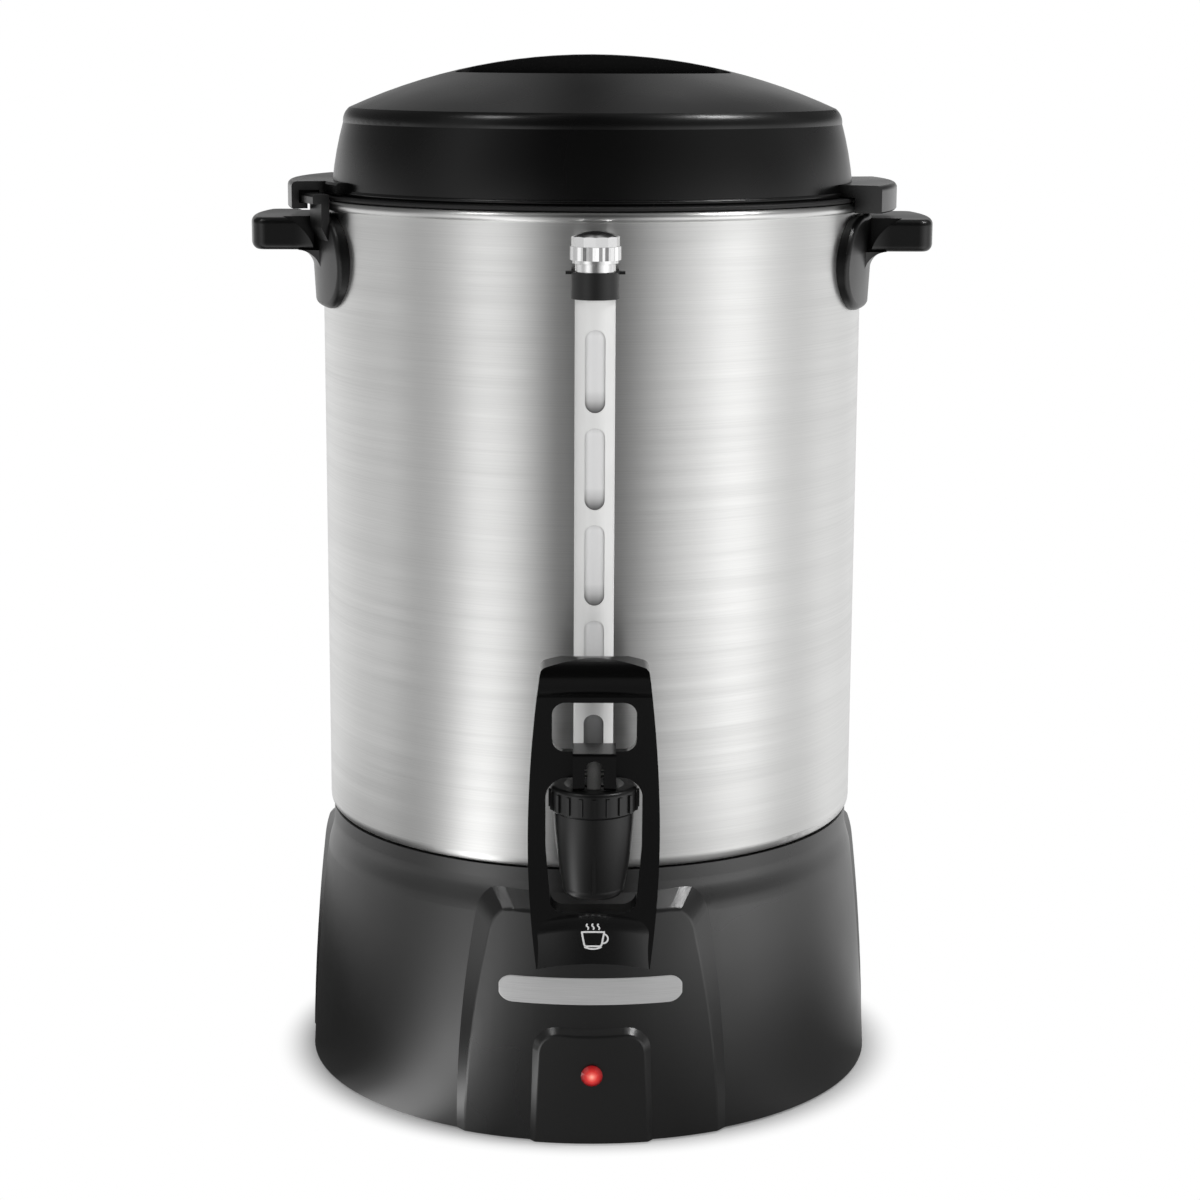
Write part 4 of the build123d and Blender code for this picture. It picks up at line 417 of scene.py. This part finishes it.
# ---- indicator ---------------------------------------------------------------------------------
# A red jewel cut in facets glows when the coffee is ready. Its barrel goes through the pad, and the
# neon lamp in its sleeve stands behind it.
JEWEL_DOME = 0.0026
GLOW_RISE = 0.0003
CROWN, GIRDLE = 8, 16                     # facets round the table of the jewel, and round its girdle
jewel_low, jewel_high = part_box("indicator_lens")
JEWEL_R = (jewel_high[0] - jewel_low[0]) / 2
JEWEL_X, JEWEL_Z = (jewel_low[0] + jewel_high[0]) / 2, (jewel_low[2] + jewel_high[2]) / 2
JEWEL_AT = Vector((JEWEL_X, jewel_low[1] + JEWEL_DOME, JEWEL_Z))
JEWEL_RINGS = [
    # share of the radius, height over the pad, corners, and turn in corners
    (0.34, JEWEL_DOME, CROWN, 0.0), (0.72, 0.00185, CROWN, 0.5), (1.0, 0.0006, GIRDLE, 0.0),
    (1.0, 0.0, GIRDLE, 0.0), (0.85, 0.0, GIRDLE, 0.0), (0.85, JEWEL_AT.y - jewel_high[1], GIRDLE, 0.0),
]
mesh = bmesh.new()
rings = []
for share, rise, corners, shift in JEWEL_RINGS:
    angles = [(k + shift) * math.tau / corners for k in range(corners)]
    rings.append([mesh.verts.new(JEWEL_AT + Vector((JEWEL_R * share * math.cos(angle), -rise,
                                                    JEWEL_R * share * math.sin(angle)))) for angle in angles])
mesh.faces.new(rings[0])
mesh.faces.new(rings[-1])
top, middle, edge = rings[:3]
for k in range(CROWN):
    following, here = (k + 1) % CROWN, 2 * k
    mesh.faces.new((top[k], top[following], middle[k]))
    mesh.faces.new((middle[k], top[following], middle[following]))
    mesh.faces.new((middle[k], edge[here], edge[here + 1]))
    mesh.faces.new((middle[k], edge[here + 1], edge[(here + 2) % GIRDLE]))
    mesh.faces.new((middle[k], edge[(here + 2) % GIRDLE], middle[following]))
for inner, outer in zip(rings[2:], rings[3:]):
    for k in range(GIRDLE):
        following = (k + 1) % GIRDLE
        mesh.faces.new((inner[k], outer[k], outer[following], inner[following]))

cut_red, tree, surface = new_material("cut_red_jewel")
place = put(tree, "SeparateXYZ", {0: place_on(tree)}).outputs
rise = maths(tree, "SUBTRACT", place["Z"], JEWEL_AT.z + GLOW_RISE)
flat = put(tree, "CombineXYZ", {0: place["X"], 1: rise}).outputs[0]
from_axis = put(tree, "VectorMath", {0: flat}, operation="LENGTH").outputs["Value"]
share = spread(tree, from_axis, 0.0, JEWEL_R)
# Painted glow: the colour is painted pale in the middle and dark red at the rim, and the emission makes the
# lens itself shine with the neon lamp's light.
feed(tree, surface, {
    "Base Color": ramp(tree, share, [(0.0, (0.90, 0.30, 0.24)), (0.5, (0.60, 0.03, 0.03)),
                                     (1.0, (0.20, 0.0, 0.003))]),
    "Emission Color": ramp(tree, share, [(0.0, (1.0, 0.42, 0.30)), (0.3, (0.55, 0.05, 0.04)),
                                         (0.8, (0.16, 0.004, 0.004)), (1.0, (0.02, 0.0, 0.0))]),
    "Emission Strength": 0.55, "Roughness": 0.08, "IOR": 1.55, "Coat Weight": 0.5,
})
jewel = new_piece("faceted_jewel", mesh, cut_red, "urn")
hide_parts("indicator_lens")

lamp_glass, tree, surface = new_material("neon_glass")
haze = noise(tree, place_on(tree), 300.0)
feed(tree, surface, {
    "Base Color": ramp(tree, haze, [(0.3, (0.85, 0.55, 0.40)), (0.7, (0.92, 0.66, 0.50))]),
    "Roughness": 0.12, "Transmission Weight": 0.6,
})
dress(lamp_glass, "neon_lamp")

# ---- power inlet -------------------------------------------------------------------------------
# An appliance inlet in matt black thermoplastic snaps into the back of the base. Its three nickelled
# blades lead to a terminal block on the bottom plate.
dress(moulded("inlet_moulding", (0.018, 0.018, 0.018), 0.5, pitted=0.2), "power_inlet")
dress(moulded("terminal_moulding", (0.55, 0.53, 0.47), 0.5), "terminal_block")
nickelled = zinc_plated("nickelled_brass", (0.74, 0.66, 0.46), 0.22)
dress(nickelled, "inlet_pins", "handle_inserts", "thermal_fuse")

# ---- heaters -----------------------------------------------------------------------------------
# A stainless well is clamped into the tank's floor by a nut, with the percolating heater pushed onto
# it. An open ring of sheathed element keeps the coffee warm, and heat has tinted both.
heated, tree, surface = new_material("heat_tinted_steel")
tint = noise(tree, place_on(tree), 35.0)
feed(tree, surface, {
    "Base Color": ramp(tree, tint, [(0.3, (0.46, 0.40, 0.33)), (0.5, (0.52, 0.50, 0.47)),
                                    (0.7, (0.40, 0.41, 0.45))]),
    "Metallic": 1.0, "Roughness": 0.4,
})
dress(heated, "perk_heater", "warmer_element")
dress(lathe_brushed("turned_steel", (0.60, 0.60, 0.58), 0.3, 0.08, 0.03), "heating_well", "well_nut")

# ---- side handles ------------------------------------------------------------------------------
# Black satin mouldings, each screwed to the tank from inside, with the catch for the lid's ear
# moulded on. They are smoother and darker than the base.
satin_black = moulded("satin_black_moulding", (0.003, 0.003, 0.003), 0.32, grain=0.0003, pitted=0.07)
dress(satin_black, "right_handle", "left_handle")

# ---- sight gauge -------------------------------------------------------------------------------
# A glass tube stands in a white slotted guard, and use has hazed it. Its colour carries painted shade at the
# foot of each slot, and it is dimmer over the lowest slots. A black band holds the guard to the tank, and a
# bright knurled cap closes the glass at the top.
SLOT_DROP, SLOT_LONG, SLOT_PITCH = 0.0119, 0.0334, 0.0395
DIM_FROM, DIM_TO, DIM_SHARE = 3.4, 4.3, 0.22      # in slots down from the top, and how dim the glass gets
guard, tree, surface = new_material("white_guard")
cloud = noise(tree, place_on(tree), 60.0)
feed(tree, surface, {
    "Base Color": ramp(tree, cloud, [(0.3, (0.88, 0.88, 0.87)), (0.7, (0.92, 0.92, 0.91))]),
    "Roughness": 0.38,
})
dress(guard, "gauge_shield")

glass, tree, surface = new_material("gauge_glass")
place = place_on(tree)
height = put(tree, "SeparateXYZ", {0: place}).outputs["Z"]
first_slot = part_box("gauge_clip")[0][2] - SLOT_DROP
slots_down = maths(tree, "DIVIDE", maths(tree, "SUBTRACT", first_slot, height), SLOT_PITCH)
foot = SLOT_LONG / SLOT_PITCH
# Painted shade: the glass darkens towards the foot of each slot.
painted_slot_shade = ramp(tree, maths(tree, "FRACT", slots_down), [
    (0.0, 0.80), (0.06, 0.98), (foot - 0.22, 0.97), (foot - 0.12, 0.70),
    (foot - 0.04, 0.32), (foot, 0.20), (0.93, 0.20), (1.0, 0.80)])
# The glass is also dimmer over the lowest slots.
depth = ease(tree, slots_down, DIM_FROM, DIM_TO, 1.0, DIM_SHARE)
stain = noise(tree, place, 45.0)
feed(tree, surface, {
    "Base Color": put(tree, "VectorMath", {0: painted_slot_shade, 1: depth}, operation="MULTIPLY").outputs[0],
    "Roughness": spread(tree, stain, 0.3, 0.7, 0.08, 0.16),
    "IOR": 1.47, "Transmission Weight": 0.1,
})
dress(glass, "gauge_tube")

dress(moulded("band_moulding", (0.010, 0.010, 0.010), 0.42, pitted=0.1), "gauge_clip")
chrome, tree, surface = new_material("satin_chrome")
wear = noise(tree, place_on(tree), 500.0, detail=3.0)
feed(tree, surface, {
    "Base Color": ramp(tree, wear, [(0.3, 0.84), (0.7, 0.90)]),
    "Roughness": spread(tree, wear, 0.3, 0.7, 0.16, 0.24),
    "Metallic": 1.0,
})
dress(chrome, "gauge_cap", "gauge_fitting")

# ---- tap ---------------------------------------------------------------------------------------
# The spout, its shank and the ribbed bonnet are moulded in black nylon, and the shank goes through the
# tank's wall. The stem's blade is a greyer moulding.
nylon = moulded("nylon_moulding", (0.006, 0.006, 0.006), 0.34, pitted=0.12)
dress(nylon, "faucet_body", "faucet_bonnet")
dress(moulded("stem_moulding", (0.20, 0.20, 0.195), 0.42), "valve_stem")

# ---- seat cup ----------------------------------------------------------------------------------
# A soft silicone cup seals the outlet and pulls the lever back. It stretches between its flange, held
# under the bonnet, and its foot, which the stem lifts.
dress(moulded("silicone", (0.62, 0.61, 0.57), 0.55, pitted=0.05), "seat_cup")
seat_cup = bpy.data.objects.new("stretching_seat_cup", nodes["seat_cup"].data.copy())
bpy.context.scene.collection.objects.link(seat_cup)
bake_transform(seat_cup)
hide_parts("seat_cup")

# ---- shank thread ------------------------------------------------------------------------------
# Inside the tank the shank carries a fine moulded thread for its nut. The thread starts behind the nut,
# and fades in and out at its ends.
THREAD_PITCH, THREAD_RISE, THREAD_SUNK = 0.00125, 0.0003, 0.0001
ROOT_HALF, CREST_HALF = 0.42, 0.08        # half widths, as shares of the pitch
SHANK_R, SHANK_Z = 0.008, 0.142
TURN_STEPS, FADE_STEPS = 32, 8
nut_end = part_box("shank_nut")[1][1]
shank_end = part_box("faucet_body")[1][1]
steps = int((shank_end - nut_end - THREAD_PITCH) / THREAD_PITCH * TURN_STEPS)
mesh = bmesh.new()
sections = []
for k in range(steps + 1):
    angle = k * math.tau / TURN_STEPS
    middle = nut_end + THREAD_PITCH * (0.5 + k / TURN_STEPS)
    crest = SHANK_R + THREAD_RISE * min(1.0, k / FADE_STEPS, (steps - k) / FADE_STEPS)
    root = SHANK_R - THREAD_SUNK
    profile = ((root, -ROOT_HALF), (crest, -CREST_HALF), (crest, CREST_HALF), (root, ROOT_HALF))
    sections.append([mesh.verts.new((radius * math.cos(angle), middle + shift * THREAD_PITCH,
                                     SHANK_Z + radius * math.sin(angle))) for radius, shift in profile])
for this, following in zip(sections, sections[1:]):
    for j in range(4):
        mesh.faces.new((this[j], this[(j + 1) % 4], following[(j + 1) % 4], following[j]))
mesh.faces.new(sections[0])
mesh.faces.new(sections[-1])
new_piece("shank_thread", mesh, nylon, "urn")

# ---- press lever -------------------------------------------------------------------------------
# A glossy black moulding that is pressed with the cup. It swings on a steel pin through the stem's
# blade, and the heel of its yoke rolls on the bonnet's rim.
dress(moulded("glossy_black_moulding", (0.002, 0.002, 0.002), 0.2, pitted=0.03, drift=0.03), "lever")

# ---- cup picture -------------------------------------------------------------------------------
# A plain picture of a steaming cup, in white ink, shows where to press. It is printed on the lever's
# pad in strokes of even width.
INK = 0.00004
CUP_Z = 0.1005
CUP_LINE, EAR_LINE, STEAM_LINE = 0.75, 0.7, 0.6   # widths of the strokes, in millimetres
STEAM_FOOT, STEAM_STEP, STEAM_SWAY = 2.9, 0.17, 0.42
STEAM_POINTS = 16


def printed_stroke(points, width):
    """A stroke of ink along some (x, z) points in millimetres, laid on the pad."""
    spots = [Vector(point) / 1000 for point in points]
    last = len(spots) - 1
    edges = []
    for k, spot in enumerate(spots):
        way = spots[min(k + 1, last)] - spots[max(k - 1, 0)]
        side = Vector((-way.y, way.x)).normalized() * width / 2000
        edges.append([mesh.verts.new(front_of(lever_front, across.x, CUP_Z + across.y, INK))
                      for across in (spot + side, spot - side)])
    for (a, b), (c, d) in zip(edges, edges[1:]):
        mesh.faces.new((a, b, d, c))


def bow(centre, radius, first, last, count, flat=1.0):
    """Points of an arc, in degrees anticlockwise from the right."""
    angles = [math.radians(first + (last - first) * k / count) for k in range(count + 1)]
    return [(centre[0] + radius * math.cos(angle), centre[1] + flat * radius * math.sin(angle))
            for angle in angles]


def straight(start, end, count=12):
    """Points along a straight line."""
    return [(start[0] + (end[0] - start[0]) * k / count, start[1] + (end[1] - start[1]) * k / count)
            for k in range(count + 1)]


lever_front = surface_of("lever")
mesh = bmesh.new()
left_wall = straight((-4.6, 1.6), (-3.7, -3.2)) + bow((-2.5, -3.1), 1.2, 185, 268, 6)
right_wall = bow((2.5, -3.1), 1.2, 272, 355, 6) + straight((3.7, -3.2), (4.6, 1.6))
printed_stroke(left_wall + straight((-2.5, -4.3), (2.5, -4.3)) + right_wall, CUP_LINE)
printed_stroke(straight((-4.95, 1.9), (4.95, 1.9)), CUP_LINE)
printed_stroke(bow((4.2, -0.9), 2.0, 84, -96, 16), EAR_LINE)
printed_stroke(bow((0, 0.6), 6.4, 236, 304, 20, flat=0.95), EAR_LINE)
for x in (-2.3, 0.0, 2.3):
    printed_stroke([(x + STEAM_SWAY * math.sin(k * math.tau / STEAM_POINTS), STEAM_FOOT + STEAM_STEP * k)
                    for k in range(STEAM_POINTS + 1)], STEAM_LINE)
ink, tree, surface = new_material("white_ink")
cover = noise(tree, place_on(tree), 1500.0)
feed(tree, surface, {"Base Color": ramp(tree, cover, [(0.3, 0.70), (0.7, 0.80)]), "Roughness": 0.5})
new_piece("printed_cup", mesh, ink, "press_lever")

# ---- percolating parts -------------------------------------------------------------------------
# The lift tube, its loose washer, the basket and the spreader cover are spun and pressed from
# aluminium, duller than the tank.
dress(lathe_brushed("spun_aluminium", (0.76, 0.76, 0.75), 0.42, 0.12, 0.05), "pump_stem", "pump_washer",
      "coffee_basket", "basket_cover")

# ---- lid ---------------------------------------------------------------------------------------
# A deep black moulding, smooth and glossy on its dome, with two scoops either side of a grip bar and
# a lock ear over each handle. A black seal ring rides under its skirt.
dress(moulded("lid_moulding", (0.002, 0.002, 0.002), 0.26, grain=0.0003, pitted=0.05), "lid_shell")
dress(moulded("seal_rubber", (0.012, 0.012, 0.012), 0.55), "lid_seal")
